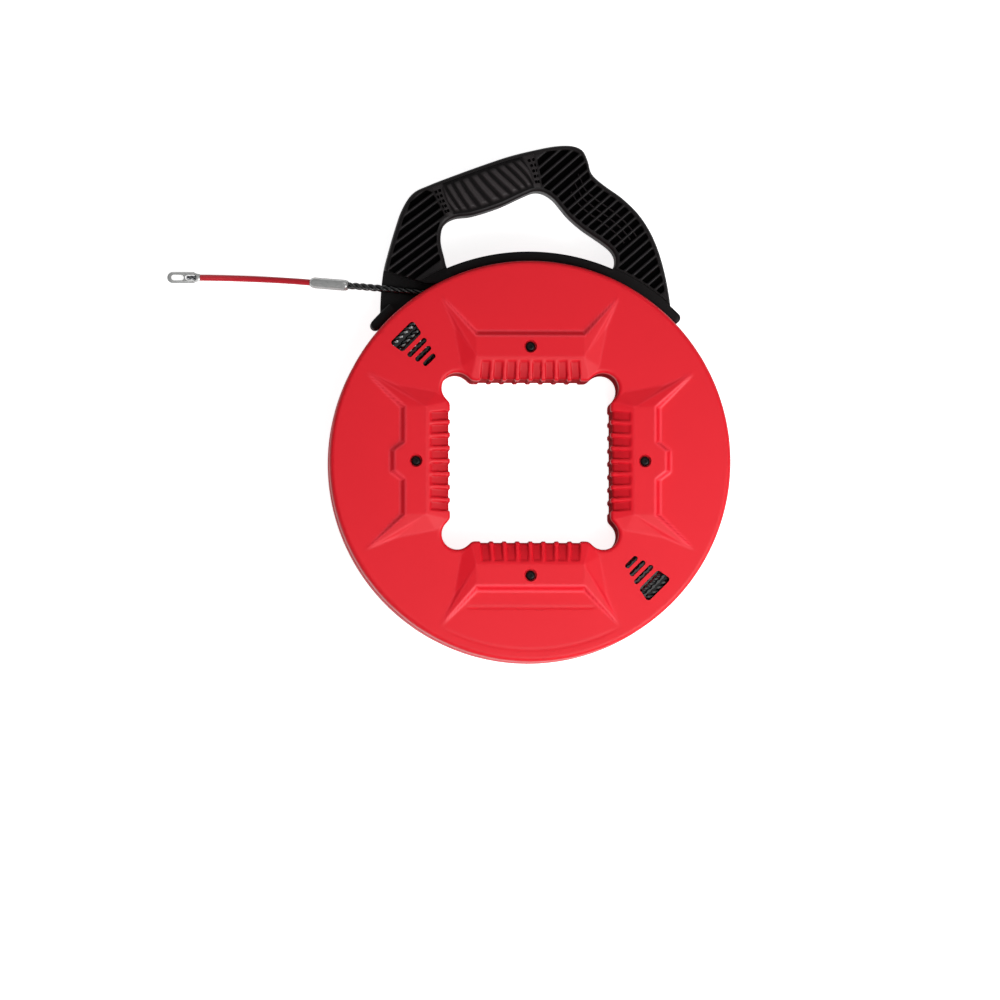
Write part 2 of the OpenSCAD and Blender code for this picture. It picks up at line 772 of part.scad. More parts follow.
// The eye lies flat: +X of its own frame runs from the leader to the tip
module eye_frame() {
    translate([eye_at.x, eye_at.y, eye_at.z]) rotate(180) children();
}

module pull_eye() {
    w = eye_w / 2;
    color([0.7, 0.7, 0.71]) eye_frame() difference() {
        translate([0, 0, -eye_t / 2]) linear_extrude(eye_t) polygon(concat(
            [[0, -w * 0.65], [eye_l * 0.2, -w]],
            arc([eye_l - w, 0], w, -90, 90, 10),
            [[eye_l * 0.2, w], [0, w * 0.65]]
        ));
        translate([eye_l - w - 3.6, 0, -eye_t]) linear_extrude(2 * eye_t) slot_shape(9.5, w);
        translate([6.5, 0, -eye_t]) linear_extrude(2 * eye_t) slot_shape(8, w);
        translate([-over, 0, 0]) rotate([0, 90, 0]) cylinder(d = core_d + 0.1, h = 5);
    }
}

module leader_core() {
    color([0.6, 0.6, 0.62]) eye_frame() rotate([0, 90, 0]) cylinder(d = core_d, h = core_l);
}

case_front();
case_back();
case_screws();
tape_coil();
tape_inner_end();
tape_clip();
clip_screws();
handle_front();
handle_back();
handle_screws();
grip_front();
grip_back();
slide_rail();
end_shoe();
saddle_screws();
tape_run();
tape_tail();
ferrule();
leader();
leader_core();
pull_eye();
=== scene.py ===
import bmesh
import bpy
import math
import numpy as np
from mathutils import Matrix, Vector


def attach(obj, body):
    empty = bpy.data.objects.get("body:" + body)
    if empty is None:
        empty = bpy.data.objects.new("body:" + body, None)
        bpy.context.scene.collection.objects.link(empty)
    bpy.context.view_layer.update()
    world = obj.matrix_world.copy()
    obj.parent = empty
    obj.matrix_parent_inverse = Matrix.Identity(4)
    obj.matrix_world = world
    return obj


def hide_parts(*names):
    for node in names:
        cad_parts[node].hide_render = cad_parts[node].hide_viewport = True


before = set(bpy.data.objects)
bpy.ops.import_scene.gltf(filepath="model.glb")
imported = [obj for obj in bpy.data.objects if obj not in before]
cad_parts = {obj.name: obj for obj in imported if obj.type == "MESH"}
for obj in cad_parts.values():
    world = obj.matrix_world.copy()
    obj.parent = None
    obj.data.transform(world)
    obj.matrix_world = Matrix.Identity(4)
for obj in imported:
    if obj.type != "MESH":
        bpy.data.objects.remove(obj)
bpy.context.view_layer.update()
mm = 0.001
partingZ = 33       # height of the plane between the halves, in millimetres
nearAxis = 0.01     # radius that stands for the axis in a turned profile


def linkPiece(name, data):
    piece = bpy.data.objects.new(name, data)
    bpy.context.scene.collection.objects.link(piece)
    return piece


def meshPiece(name, points, faces):  # points in millimetres
    data = bpy.data.meshes.new(name)
    data.from_pydata((np.asarray(points, float) * mm).tolist(), [], faces)
    data.update()
    return linkPiece(name, data)


def skinRings(name, rings, loop=False):  # solid through rings that all have the same number of points
    rings = np.asarray(rings, float)
    count, size = rings.shape[:2]
    index = np.arange(count * size).reshape(count, size)
    lower = index if loop else index[:-1]
    upper = np.roll(index, -1, axis=0) if loop else index[1:]
    sides = np.stack([lower, np.roll(lower, -1, axis=1), np.roll(upper, -1, axis=1), upper], axis=-1)
    faces = sides.reshape(-1, 4).tolist()
    if not loop:
        faces += [index[0][::-1].tolist(), index[-1].tolist()]
    piece = meshPiece(name, rings.reshape(-1, 3), faces)
    turnOutward(piece)
    return piece


def turnOutward(piece):
    data = piece.data
    data.calc_loop_triangles()
    co = np.zeros(len(data.vertices) * 3)
    data.vertices.foreach_get("co", co)
    co = co.reshape(-1, 3)
    tri = np.zeros(len(data.loop_triangles) * 3, int)
    data.loop_triangles.foreach_get("vertices", tri)
    a, b, c = co[tri.reshape(-1, 3)].transpose(1, 0, 2)
    if np.einsum("ij,ij->", a, np.cross(b, c)) < 0:
        data.flip_normals()


def bakePiece(piece):  # turns the evaluated result into a plain mesh without modifiers
    graph = bpy.context.evaluated_depsgraph_get()
    data = bpy.data.meshes.new_from_object(piece.evaluated_get(graph))
    piece.modifiers.clear()
    if piece.type == "MESH":
        piece.data = data
        return piece
    name = piece.name
    bpy.data.objects.remove(piece)
    return linkPiece(name, data)


def combine(piece, other, operation):
    modifier = piece.modifiers.new("combine", "BOOLEAN")
    modifier.object = other
    modifier.operation = operation
    modifier.solver = "MANIFOLD"
    bakePiece(piece)
    bpy.data.objects.remove(other)


def cut(piece, *cutters):
    for cutter in cutters:
        combine(piece, cutter, "DIFFERENCE")


def add(piece, *others):
    for other in others:
        combine(piece, other, "UNION")


def joinPieces(name, pieces):  # one mesh that holds several closed shells
    points, faces, start = [], [], 0
    for piece in pieces:
        points += [tuple(v.co / mm) for v in piece.data.vertices]
        faces += [[start + i for i in p.vertices] for p in piece.data.polygons]
        start += len(piece.data.vertices)
        bpy.data.objects.remove(piece)
    return meshPiece(name, points, faces)


def tidyMesh(data):  # takes out the slivers that cutting leaves
    mesh = bmesh.new()
    mesh.from_mesh(data)
    bmesh.ops.remove_doubles(mesh, verts=mesh.verts, dist=2e-6)
    bmesh.ops.dissolve_degenerate(mesh, edges=mesh.edges, dist=2e-6)
    bmesh.ops.delete(mesh, geom=[edge for edge in mesh.edges if not edge.link_faces], context="EDGES")
    bmesh.ops.triangulate(mesh, faces=[face for face in mesh.faces if len(face.verts) > 4])
    mesh.to_mesh(data)
    mesh.free()


def finishPiece(piece, material, body, replaces=(), sharpAngle=36):
    data = piece.data
    if piece.type == "MESH":
        tidyMesh(data)
        data.shade_smooth()
        data.set_sharp_from_angle(angle=math.radians(sharpAngle))
    data.materials.clear()
    data.materials.append(material)
    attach(piece, body)
    if replaces:
        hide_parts(*replaces)
    return piece


def stack(name, outline, steps):  # solid through the outline that each step's value gives, at its height
    return skinRings(name, [[(x, y, z) for x, y in outline(value)] for z, value in steps])


def prism(name, outline, low, high):  # outline in plan, extruded along Z
    return stack(name, lambda value: outline, [(low, 0), (high, 0)])


def turnPoint(radius, degrees, centre=(0, 0)):
    angle = math.radians(degrees)
    return centre[0] + radius * math.cos(angle), centre[1] + radius * math.sin(angle)


def arcPoints(centre, radius, first, last, steps):
    return [turnPoint(radius, angle, centre) for angle in np.linspace(first, last, steps + 1)]


def lathe(name, profile, sides=64, first=0, last=360):  # profile of radius and height, closed
    full = last - first >= 360
    count = sides if full else sides + 1
    turn = np.radians(first + (last - first) * np.arange(count) / sides)
    rings = [[(r * math.cos(t), r * math.sin(t), z) for r, z in profile] for t in turn]
    return skinRings(name, rings, loop=full)


def tube(name, inner, outer, low, high, *turn):
    return lathe(name, [(inner, low), (outer, low), (outer, high), (inner, high)], *turn)


def rotateOutline(outline, degrees):
    c, s = math.cos(math.radians(degrees)), math.sin(math.radians(degrees))
    return [(x * c - y * s, x * s + y * c) for x, y in outline]


def fromMiddle(z, front):  # height of a point at a distance from the parting plane
    return partingZ + (z if front else -z)


def heightPair(low, high, front):  # two heights of a front half, or the same of the back half
    return (low, high) if front else (2 * partingZ - high, 2 * partingZ - low)


def smoothStep(x):
    x = np.clip(x, 0, 1)
    return x * x * (3 - 2 * x)


def catmullRom(a, b, c, d, t):  # point between b and c
    return 0.5 * (2 * b + (c - a) * t + (2 * a - 5 * b + 4 * c - d) * t ** 2
                  + (3 * b - a - 3 * c + d) * t ** 3)


def shiftPiece(piece, x, y):
    for vertex in piece.data.vertices:
        vertex.co += Vector((x, y, 0)) * mm


def evenOut(values, times, turn=0):  # for a closed run whose values grow by turn each time round
    for _ in range(times):
        before, after = np.roll(values, 1, 0), np.roll(values, -1, 0)
        before[0] -= turn
        after[-1] += turn
        values = (before + 2 * values + after) / 4
    return values


def flipOver(piece):  # mirrors a piece in the parting plane
    for vertex in piece.data.vertices:
        vertex.co.z = 2 * partingZ * mm - vertex.co.z
    piece.data.flip_normals()


def feed(tree, node, sockets):  # gives inputs plain values or the outputs that drive them
    for label, value in dict(sockets).items():
        if isinstance(value, bpy.types.NodeSocket):
            tree.links.new(value, node.inputs[label])
        else:
            node.inputs[label].default_value = value
    return node


def addNode(tree, kind, settings=(), sockets=()):
    node = tree.nodes.new(kind)
    for label, value in dict(settings).items():
        setattr(node, label, value)
    return feed(tree, node, sockets)


def mathNode(tree, operation, *values, clamp=False):
    settings = {"operation": operation, "use_clamp": clamp}
    return addNode(tree, "ShaderNodeMath", settings, enumerate(values)).outputs[0]


def vectorNode(tree, operation, *vectors, scale=None):
    sockets = dict(enumerate(vectors))
    if scale is not None:
        sockets["Scale"] = scale
    return addNode(tree, "ShaderNodeVectorMath", {"operation": operation}, sockets).outputs[0]


def combineNode(tree, **axes):
    return addNode(tree, "ShaderNodeCombineXYZ", (), axes).outputs[0]


def mixNode(tree, share, first, second):
    sockets = {"Factor": share, "A": first, "B": second}
    return addNode(tree, "ShaderNodeMix", {"data_type": "RGBA"}, sockets).outputs["Result"]


def rangeNode(tree, value, low, high, start=0, stop=1, kind="LINEAR"):
    sockets = {"Value": value, "From Min": start, "From Max": stop, "To Min": low, "To Max": high}
    return addNode(tree, "ShaderNodeMapRange", {"interpolation_type": kind}, sockets).outputs["Result"]


def geoNode(tree, kind, sockets=(), **settings):
    return addNode(tree, "GeometryNode" + kind, settings, sockets).outputs


def newGroup(kind, name, inputs, outputs):  # a shared tree with named sockets
    tree = bpy.data.node_groups.new(name, kind)
    for way, sockets in (("OUTPUT", outputs), ("INPUT", inputs)):
        for label, form, *value in sockets:
            socket = tree.interface.new_socket(label, in_out=way, socket_type="NodeSocket" + form)
            if value:
                socket.default_value = value[0]
    return tree, tree.nodes.new("NodeGroupInput").outputs, tree.nodes.new("NodeGroupOutput")


def newMaterial(name):
    material = bpy.data.materials.new(name)
    material.use_nodes = True
    return material, material.node_tree, material.node_tree.nodes["Principled BSDF"]


viewSettings = {
    "target": (-0.0219, -0.0284, 0.033),
    "lean": (-0.041, -0.0456),     # how far the view direction leans from straight above
    "distance": 10,
    "planeWidth": 0.7615,          # width of the view at the target
    # place, size and power of each lamp
    "lamps": {
        "front": ((0.12, -0.42, 0.8), 0.5, 2.55),
        "sheen": ((0.4, -0.45, 1.5), 1.0, 4.5),
        "right": ((0.8, -0.62, 1.0), 0.6, 10.3),
        "above": ((-0.1, 1.4, 1.4), 0.8, 2.0),
    },
    "worldLight": 0.2,
    "floorGlow": 0.84,
    "ceilingGloss": 0.1,           # shares of the background that gloss shows
    "floorGloss": 0.35,
    "floor": (3000, -0.2),         # half-width and height
}


def aimFrame(direction):  # rotation that looks back along a direction with +Y up in the picture
    back = Vector(direction).normalized()
    right = Vector((0, 1, 0)).cross(back).normalized()
    return Matrix((right, back.cross(right), back)).transposed()


def backgroundRays(tree, glossShare):  # one where the view or glass sees it, and a share for gloss
    path = addNode(tree, "ShaderNodeLightPath").outputs
    total = path["Is Camera Ray"]
    for name, share in (("Is Transmission Ray", 1), ("Is Glossy Ray", glossShare)):
        total = mathNode(tree, "MULTIPLY_ADD", path[name], share, total, clamp=True)
    return total


def buildView():
    s = viewSettings
    scene = bpy.context.scene
    scene.view_settings.view_transform = "Standard"
    toward = Vector((*s["lean"], 1)).normalized()
    camera = bpy.data.objects.new("camera", bpy.data.cameras.new("camera"))
    camera.location = Vector(s["target"]) + toward * s["distance"]
    camera.rotation_euler = aimFrame(toward).to_euler()
    camera.data.sensor_width = 36
    camera.data.lens = 36 * s["distance"] / s["planeWidth"]
    camera.data.clip_start = 0.05
    scene.collection.objects.link(camera)
    scene.camera = camera

    for name, (place, size, power) in s["lamps"].items():
        light = bpy.data.lights.new(name, "AREA")
        light.shape = "SQUARE"
        light.size = size
        light.energy = power
        lamp = bpy.data.objects.new(name, light)
        lamp.location = place
        lamp.rotation_euler = (Vector((0, 0, 0.03)) - Vector(place)).to_track_quat("-Z", "Y").to_euler()
        lamp.visible_glossy = name != "front"
        scene.collection.objects.link(lamp)

    world = bpy.data.worlds.new("studio")
    scene.world = world
    world.use_nodes = True
    tree = world.node_tree
    strength = rangeNode(tree, backgroundRays(tree, s["ceilingGloss"]), s["worldLight"], 1)
    feed(tree, tree.nodes["Background"], {"Color": (1, 1, 1, 1), "Strength": strength})

    reach, drop = s["floor"]
    corners = [(x * reach, y * reach, drop) for x, y in ((-1, -1), (1, -1), (1, 1), (-1, 1))]
    floor = meshPiece("floor", corners, [(0, 1, 2, 3)])
    material, tree, shader = newMaterial("paleFloor")
    glow = mathNode(tree, "MULTIPLY", backgroundRays(tree, s["floorGloss"]), s["floorGlow"])
    feed(tree, shader, {
        "Base Color": (0.93, 0.93, 0.93, 1), "Roughness": 0.9, "Specular IOR Level": 0.1,
        "Emission Color": (1, 1, 1, 1), "Emission Strength": glow})
    floor.data.materials.append(material)


buildView()
print("reel: camera, light and floor are set")


def linear(red, green, blue):  # a colour written as 0 to 255
    values = [v / 255 for v in (red, green, blue)]
    return tuple(v / 12.92 if v <= 0.04045 else ((v + 0.055) / 1.055) ** 2.4 for v in values) + (1,)


def noiseNode(tree, scale, factor, detail, roughness):
    return addNode(tree, "ShaderNodeTexNoise", (), {
        "Detail": detail, "Roughness": roughness,
        "Vector": addNode(tree, "ShaderNodeTexCoord").outputs["Object"],
        "Scale": mathNode(tree, "MULTIPLY", scale, factor)}).outputs["Fac"]


def buildMouldedSkin():  # spark-eroded mould texture, with faint flow marks in the colour; one mesh attribute darkens the colour as painted shade and another lightens it as a painted highlight
    tree, given, result = newGroup(
        "ShaderNodeTree", "mouldedSkin",
        [("Colour", "Color", (0.5, 0.5, 0.5, 1)), ("Deep Colour", "Color", (0.4, 0.4, 0.4, 1)),
         ("Grain Scale", "Float", 1500), ("Flow", "Float", 0.5), ("Gloss Low", "Float", 0.4),
         ("Gloss High", "Float", 0.5), ("Cavity Shade", "Float", 0.1),
         ("Worn Colour", "Color", (0.6, 0.6, 0.6, 1))],
        [("Colour", "Color"), ("Roughness", "Float"), ("Sheen Mask", "Float"), ("Height", "Float")])
    grain = noiseNode(tree, given["Grain Scale"], 1, 3, 0.7)
    flow = noiseNode(tree, given["Grain Scale"], 0.012, 2, 0.5)
    paintedShadeMask, edge = (addNode(tree, "ShaderNodeAttribute", {"attribute_name": name}).outputs["Fac"]
                    for name in ("cavity", "worn"))
    share = mathNode(tree, "MULTIPLY", flow, given["Flow"])
    plain = mixNode(tree, share, given["Colour"], given["Deep Colour"])
    # painted highlight: the colour moves toward a lighter red along the bent edges that the highlight
    # attribute marks
    colour = mixNode(tree, edge, plain, given["Worn Colour"])
    # painted shade: the colour darkens toward Cavity Shade where the shade attribute is one
    shade = rangeNode(tree, paintedShadeMask, 1, given["Cavity Shade"])
    gloss = rangeNode(tree, flow, given["Gloss Low"], given["Gloss High"])
    feed(tree, result, {
        "Colour": vectorNode(tree, "SCALE", colour, scale=shade),
        "Roughness": mathNode(tree, "MAXIMUM", gloss, paintedShadeMask),
        "Sheen Mask": mathNode(tree, "SUBTRACT", 1, paintedShadeMask, clamp=True), "Height": grain})
    return tree


def buildDrawnMetal():  # fine scratches across a turned or drawn part
    tree, given, result = newGroup(
        "ShaderNodeTree", "drawnMetal",
        [("Colour", "Color", (0.6, 0.6, 0.6, 1)), ("Dark Colour", "Color", (0.3, 0.3, 0.3, 1)),
         ("Scratch Scale", "Float", 900), ("Soil", "Float", 0.4)],
        [("Colour", "Color"), ("Roughness", "Float"), ("Height", "Float")])
    place = addNode(tree, "ShaderNodeTexCoord").outputs["Object"]
    stretch = addNode(tree, "ShaderNodeMapping", (), {"Vector": place, "Scale": (0.05, 1, 1)})
    scratch = addNode(tree, "ShaderNodeTexNoise", (), {
        "Detail": 5, "Scale": given["Scratch Scale"],
        "Vector": stretch.outputs["Vector"]}).outputs["Fac"]
    soil = noiseNode(tree, given["Scratch Scale"], 0.3, 4, 0.6)
    share = rangeNode(tree, soil, 0, given["Soil"], 0.45, 0.75)
    feed(tree, result, {
        "Colour": mixNode(tree, share, given["Colour"], given["Dark Colour"]),
        "Roughness": rangeNode(tree, scratch, 0.14, 0.32), "Height": scratch})
    return tree


mouldedSkin = buildMouldedSkin()
drawnMetal = buildDrawnMetal()


def makeMaterial(name, group, values, bump, metallic=0.0, specular=0.5, coat=0.0, coatRough=0.2):
    material, tree, shader = newMaterial(name)
    source = addNode(tree, "ShaderNodeGroup", {"node_tree": group}, values).outputs
    strength, distance = bump
    relief = addNode(tree, "ShaderNodeBump", (), {
        "Strength": strength, "Distance": distance, "Height": source["Height"]}).outputs["Normal"]
    feed(tree, shader, {
        "Base Color": source["Colour"], "Roughness": source["Roughness"], "Normal": relief,
        "Metallic": metallic, "Specular IOR Level": specular, "Coat Roughness": coatRough})
    if coat:
        feed(tree, shader, {"Coat Weight": mathNode(tree, "MULTIPLY", source["Sheen Mask"], coat)})
    return material


def moulded(name, colours, grain, flow, gloss, bump, extra=(), **shader):
    colour, deep = (linear(*value) for value in colours)
    return makeMaterial(name, mouldedSkin, {
        "Colour": colour, "Deep Colour": deep, "Grain Scale": grain, "Flow": flow,
        "Gloss Low": gloss[0], "Gloss High": gloss[1], **dict(extra)}, bump, **shader)


def metal(name, colours, scratch, soil, bump, metallic):
    colour, dark = (linear(*value) for value in colours)
    return makeMaterial(name, drawnMetal, {
        "Colour": colour, "Dark Colour": dark, "Scratch Scale": scratch, "Soil": soil}, bump, metallic)


# both colours, grain scale, flow, range of roughness, strength and distance of the bump
redShell = moulded("redShell", ((229, 14, 35), (222, 10, 31)), 1600, 0.8, (0.46, 0.54), (0.2, 0.0001),
                   # painted shade level and painted highlight colour for the red shell
                   {"Cavity Shade": 0.5, "Worn Colour": linear(248, 60, 74)},
                   specular=0.15, coat=0.45, coatRough=0.46)
blackNylon = moulded("blackNylon", ((30, 27, 28), (22, 19, 20)), 1300, 0.8, (0.34, 0.44),
                     (0.25, 0.00012), specular=0.2)
softGrip = moulded("softGrip", ((58, 53, 54), (46, 42, 43)), 2200, 0.9, (0.36, 0.46), (0.3, 0.00012),
                   specular=0.2)
slideNylon = moulded("slideNylon", ((38, 36, 37), (28, 27, 28)), 900, 0.6, (0.3, 0.4), (0.15, 0.0001),
                     specular=0.4)
tapeStrand = moulded("tapeStrand", ((16, 17, 19), (8, 8, 10)), 700, 1.0, (0.16, 0.28), (0.08, 0.00006),
                     specular=0.7, coat=0.8, coatRough=0.12)
leaderJacket = moulded("leaderJacket", ((210, 26, 44), (188, 20, 38)), 600, 0.7, (0.24, 0.34),
                       (0.1, 0.00008), specular=0.5, coat=0.1)
blackScrew = moulded("blackScrew", ((22, 21, 22), (12, 12, 13)), 1500, 0.8, (0.3, 0.45), (0.2, 0.0001),
                     metallic=0.5, specular=0.4)
# both colours, scale of the scratches, soil, bump, share of metal
fittingSteel = metal("fittingSteel", ((206, 207, 206), (120, 120, 120)), 1400, 0.25, (0.12, 0.0001), 0.6)
cableSteel = metal("cableSteel", ((150, 152, 156), (60, 60, 64)), 2600, 0.6, (0.2, 0.0001), 1.0)
platedScrew = metal("platedScrew", ((190, 190, 188), (110, 110, 108)), 1800, 0.4, (0.15, 0.0001), 1.0)
print("reel: materials are made")


def shapeTree(name, inputs):
    inputs = [("Geometry", "Geometry"), *inputs, ("Material", "Material")]
    return newGroup("GeometryNodeTree", name, inputs, [("Geometry", "Geometry")])


def runTree(piece, tree, values):
    modifier = piece.modifiers.new(tree.name, "NODES")
    modifier.node_group = tree
    names = {item.name: item.identifier for item in tree.interface.items_tree if item.in_out == "INPUT"}
    for label, value in values.items():
        modifier[names[label]] = value
    return bakePiece(piece)


def namedFloat(tree, name):
    return geoNode(tree, "InputNamedAttribute", {"Name": name}, data_type="FLOAT")["Attribute"]


def moveNode(tree, geometry, offset):
    return geoNode(tree, "SetPosition", {"Geometry": geometry, "Offset": offset})[0]


def realizeNode(tree, geometry):
    return geoNode(tree, "RealizeInstances", {0: geometry})[0]


def endTree(tree, result, geometry, material):
    sockets = {"Geometry": realizeNode(tree, geometry), "Material": material}
    feed(tree, result, {0: geoNode(tree, "SetMaterial", sockets)[0]})
    return tree


def buildPlaceTree():  # a shape on every point, turned and drawn out to each end on both flanks
    tree, given, result = shapeTree("placeShapes", [("Shape", "Object")])
    shape = geoNode(tree, "ObjectInfo", {"Object": given["Shape"]})["Geometry"]
    turn = namedFloat(tree, "turn")
    placed = geoNode(tree, "InstanceOnPoints", {
        "Points": given["Geometry"], "Instance": shape, "Rotation": combineNode(tree, Z=turn)})[0]
    along = combineNode(tree, X=mathNode(tree, "COSINE", turn), Y=mathNode(tree, "SINE", turn))
    flank = mathNode(tree, "MULTIPLY_ADD", namedFloat(tree, "flank"), 0.5, 0.5)
    side = namedFloat(tree, "side")
    parts = []
    for end, limit in (("start", "MINIMUM"), ("finish", "MAXIMUM")):
        low, high = namedFloat(tree, end + "Low"), namedFloat(tree, end + "High")
        reach = mathNode(tree, "MULTIPLY_ADD", mathNode(tree, "SUBTRACT", high, low), flank, low)
        parts.append(mathNode(tree, "MULTIPLY", reach, mathNode(tree, limit, side, 0)))
    offset = vectorNode(tree, "SCALE", along, scale=mathNode(tree, "ADD", *parts))
    moved = moveNode(tree, realizeNode(tree, placed), offset)
    return endTree(tree, result, moved, given["Material"])


def buildStrandTree():  # strands twisted round every spline
    tree, given, result = shapeTree("twistedStrands", [
        ("Strands", "Int", 3), ("Strand Radius", "Float", 0.0012), ("Lay Radius", "Float", 0.0014),
        ("Pitch", "Float", 0.02), ("Step", "Float", 0.001), ("Sides", "Int", 8)])
    even = {"Curve": given["Geometry"], "Length": given["Step"]}
    curve = geoNode(tree, "ResampleCurve", even, mode="LENGTH")[0]
    curve = geoNode(tree, "SetCurveNormal", {0: curve}, mode="Z_UP")[0]
    copies = geoNode(tree, "DuplicateElements", {"Geometry": curve, "Amount": given["Strands"]},
                     domain="SPLINE")
    factor = geoNode(tree, "SplineParameter")["Factor"]
    length = geoNode(tree, "SplineLength")["Length"]
    normal, tangent = geoNode(tree, "InputNormal")[0], geoNode(tree, "InputTangent")[0]
    turns = mathNode(tree, "ROUND", mathNode(tree, "DIVIDE", length, given["Pitch"]))
    share = mathNode(tree, "DIVIDE", copies["Duplicate Index"], given["Strands"])
    phase = mathNode(tree, "MULTIPLY_ADD", turns, factor, share)
    angle = mathNode(tree, "MULTIPLY", phase, 2 * math.pi)
    across = vectorNode(tree, "CROSS_PRODUCT", tangent, normal)
    offset = vectorNode(tree, "ADD", *(
        vectorNode(tree, "SCALE", way, scale=mathNode(tree, wave, angle))
        for way, wave in ((normal, "COSINE"), (across, "SINE"))))
    offset = vectorNode(tree, "SCALE", offset, scale=given["Lay Radius"])
    moved = moveNode(tree, copies["Geometry"], offset)
    profile = geoNode(tree, "CurvePrimitiveCircle", {
        "Resolution": given["Sides"], "Radius": given["Strand Radius"]})["Curve"]
    sweep = geoNode(tree, "CurveToMesh", {
        "Curve": moved, "Profile Curve": profile, "Fill Caps": True})[0]
    return endTree(tree, result, sweep, given["Material"])


def buildRibTree():  # rounded ribs that lean across a face, with painted shade stored for the valleys between them
    tree, given, result = shapeTree("leaningRibs", [
        ("Pitch", "Float", 0.0068), ("Lean", "Float", 0.3), ("Rise", "Float", 0.0014),
        ("Width", "Float", 0.5)])
    along, across = namedFloat(tree, "along"), namedFloat(tree, "across")
    phase = mathNode(tree, "MULTIPLY_ADD", across, given["Lean"], along)
    wave = mathNode(tree, "PINGPONG", mathNode(tree, "DIVIDE", phase, given["Pitch"]), 0.5)
    crest = rangeNode(tree, wave, 0, 1, 0.08, given["Width"], "SMOOTHSTEP")
    rise = mathNode(tree, "MULTIPLY", crest, namedFloat(tree, "show"))
    shade = mathNode(tree, "MULTIPLY", mathNode(tree, "SUBTRACT", 1, rise), namedFloat(tree, "shade"))
    valley = geoNode(tree, "StoreNamedAttribute", {
        "Name": "cavity", "Geometry": given["Geometry"], "Value": shade})["Geometry"]
    height = mathNode(tree, "MULTIPLY", rise, given["Rise"])
    return endTree(tree, result, moveNode(tree, valley, combineNode(tree, Z=height)), given["Material"])


placeTree, strandTree, ribTree = buildPlaceTree(), buildStrandTree(), buildRibTree()


def setFloats(piece, name, values):
    layer = piece.data.attributes.new(name, "FLOAT", "POINT")
    layer.data.foreach_set("value", np.asarray(values, np.float32))


# cutter that placeTree draws out
def slotShape(name, width, low, high, flare=0.0, corner=None, sides=24):
    corner = corner or width / 2
    turns = 2 * math.pi * (np.arange(sides) + 0.5) / sides
    flat = width / 2 - corner
    steps = [(low, 0.0), (high + 2, 0.0)]
    if flare:
        mouth = [(1.7, 0.0), (1, 0.16), (0.45, 0.42), (0.12, 0.72), (0, 1.0), (-2, 1.0)]
        steps = [(low, 0.0)] + [(high - down, share) for down, share in mouth]

    def outline(share):
        r = corner + flare * share
        return [(r * math.cos(t), r * math.sin(t) + math.copysign(flat, math.sin(t))) for t in turns]

    shape = stack(name, outline, steps)
    setFloats(shape, "side", [math.copysign(1, v.co.x) for v in shape.data.vertices])
    setFloats(shape, "flank", [min(max(v.co.y / mm / (width / 2), -1), 1) for v in shape.data.vertices])
    return shape


def placeAll(name, shape, sites, material):  # sites hold x, y, z, turn and one reach or four
    points = meshPiece(name, [site[:3] for site in sites], [])
    setFloats(points, "turn", [site[3] for site in sites])
    reaches = [site[4] if isinstance(site[4], tuple) else (site[4],) * 4 for site in sites]
    for label, values in zip(("startLow", "startHigh", "finishLow", "finishHigh"), zip(*reaches)):
        setFloats(points, label, [value * mm for value in values])
    placed = runTree(points, placeTree, {"Shape": shape, "Material": material})
    bpy.data.objects.remove(shape)
    return placed


tape = {
    "diameter": 5.5, "strands": 3, "pitch": 20, "step": 0.9, "sides": 10,
    # from inside the case to the exit in the handle's foot
    "run": [(12, 141.5, 33), (0, 142, 33), (-12, 141.5, 33), (-25, 139.8, 33), (-37, 137.1, 33),
            (-48, 133.7, 33), (-58, 130.9, 33), (-67, 129.3, 33), (-77, 129.4, 33), (-87, 130.2, 33)],
    # from the exit to the ferrule
    "tail": [(-87, 130.2, 33), (-94, 130.9, 33), (-101, 131.6, 33), (-108, 132.3, 33),
             (-115, 133, 32.8), (-122, 133.7, 31.9), (-129, 134.4, 30.2), (-137.3, 135.2, 27.5)],
}
leader = {
    "diameter": 4.8,
    "route": [(-166, 138.1, 17.6), (-174, 138.9, 14.8), (-183, 139.7, 11.6), (-192, 140.4, 8.6),
              (-201, 141, 6), (-210, 141.5, 4.1), (-220, 141.9, 3), (-230, 142.2, 2.6),
              (-240, 142.4, 2.6), (-250, 142.5, 2.6)],
}


def smoothRoute(route, between=4):  # Catmull-Rom points between the route's own
    p = np.array([route[0], *route, route[-1]], float)
    out = []
    for i in range(1, len(p) - 2):
        for t in np.arange(between) / between:
            out.append(catmullRom(*p[i - 1:i + 3], t))
    return np.array(out + [p[-1]])


def routeLength(points):
    return float(np.linalg.norm(np.diff(points, axis=0), axis=1).sum())


def curvePiece(name, splines, closed=False):
    data = bpy.data.curves.new(name, "CURVE")
    data.dimensions = "3D"
    for points in splines:
        spline = data.splines.new("POLY")
        spline.points.add(len(points) - 1)
        for point, place in zip(spline.points, points):
            point.co = (*(np.asarray(place) * mm), 1)
        spline.use_cyclic_u = closed
    return linkPiece(name, data)


def twistTape(name, splines, material, closed=False, **changes):
    s = {**tape, **changes}
    radius = s["diameter"] / 2
    strand = radius / (1 + 1 / math.sin(math.pi / s["strands"]))
    swell, nestle = 1.04, 0.98    # so that the strands press into each other
    return runTree(curvePiece(name, splines, closed), strandTree, {
        "Strands": s["strands"], "Strand Radius": strand * mm * swell,
        "Lay Radius": (radius - strand) * mm * nestle, "Pitch": s["pitch"] * mm,
        "Step": s["step"] * mm, "Sides": s["sides"], "Material": material})


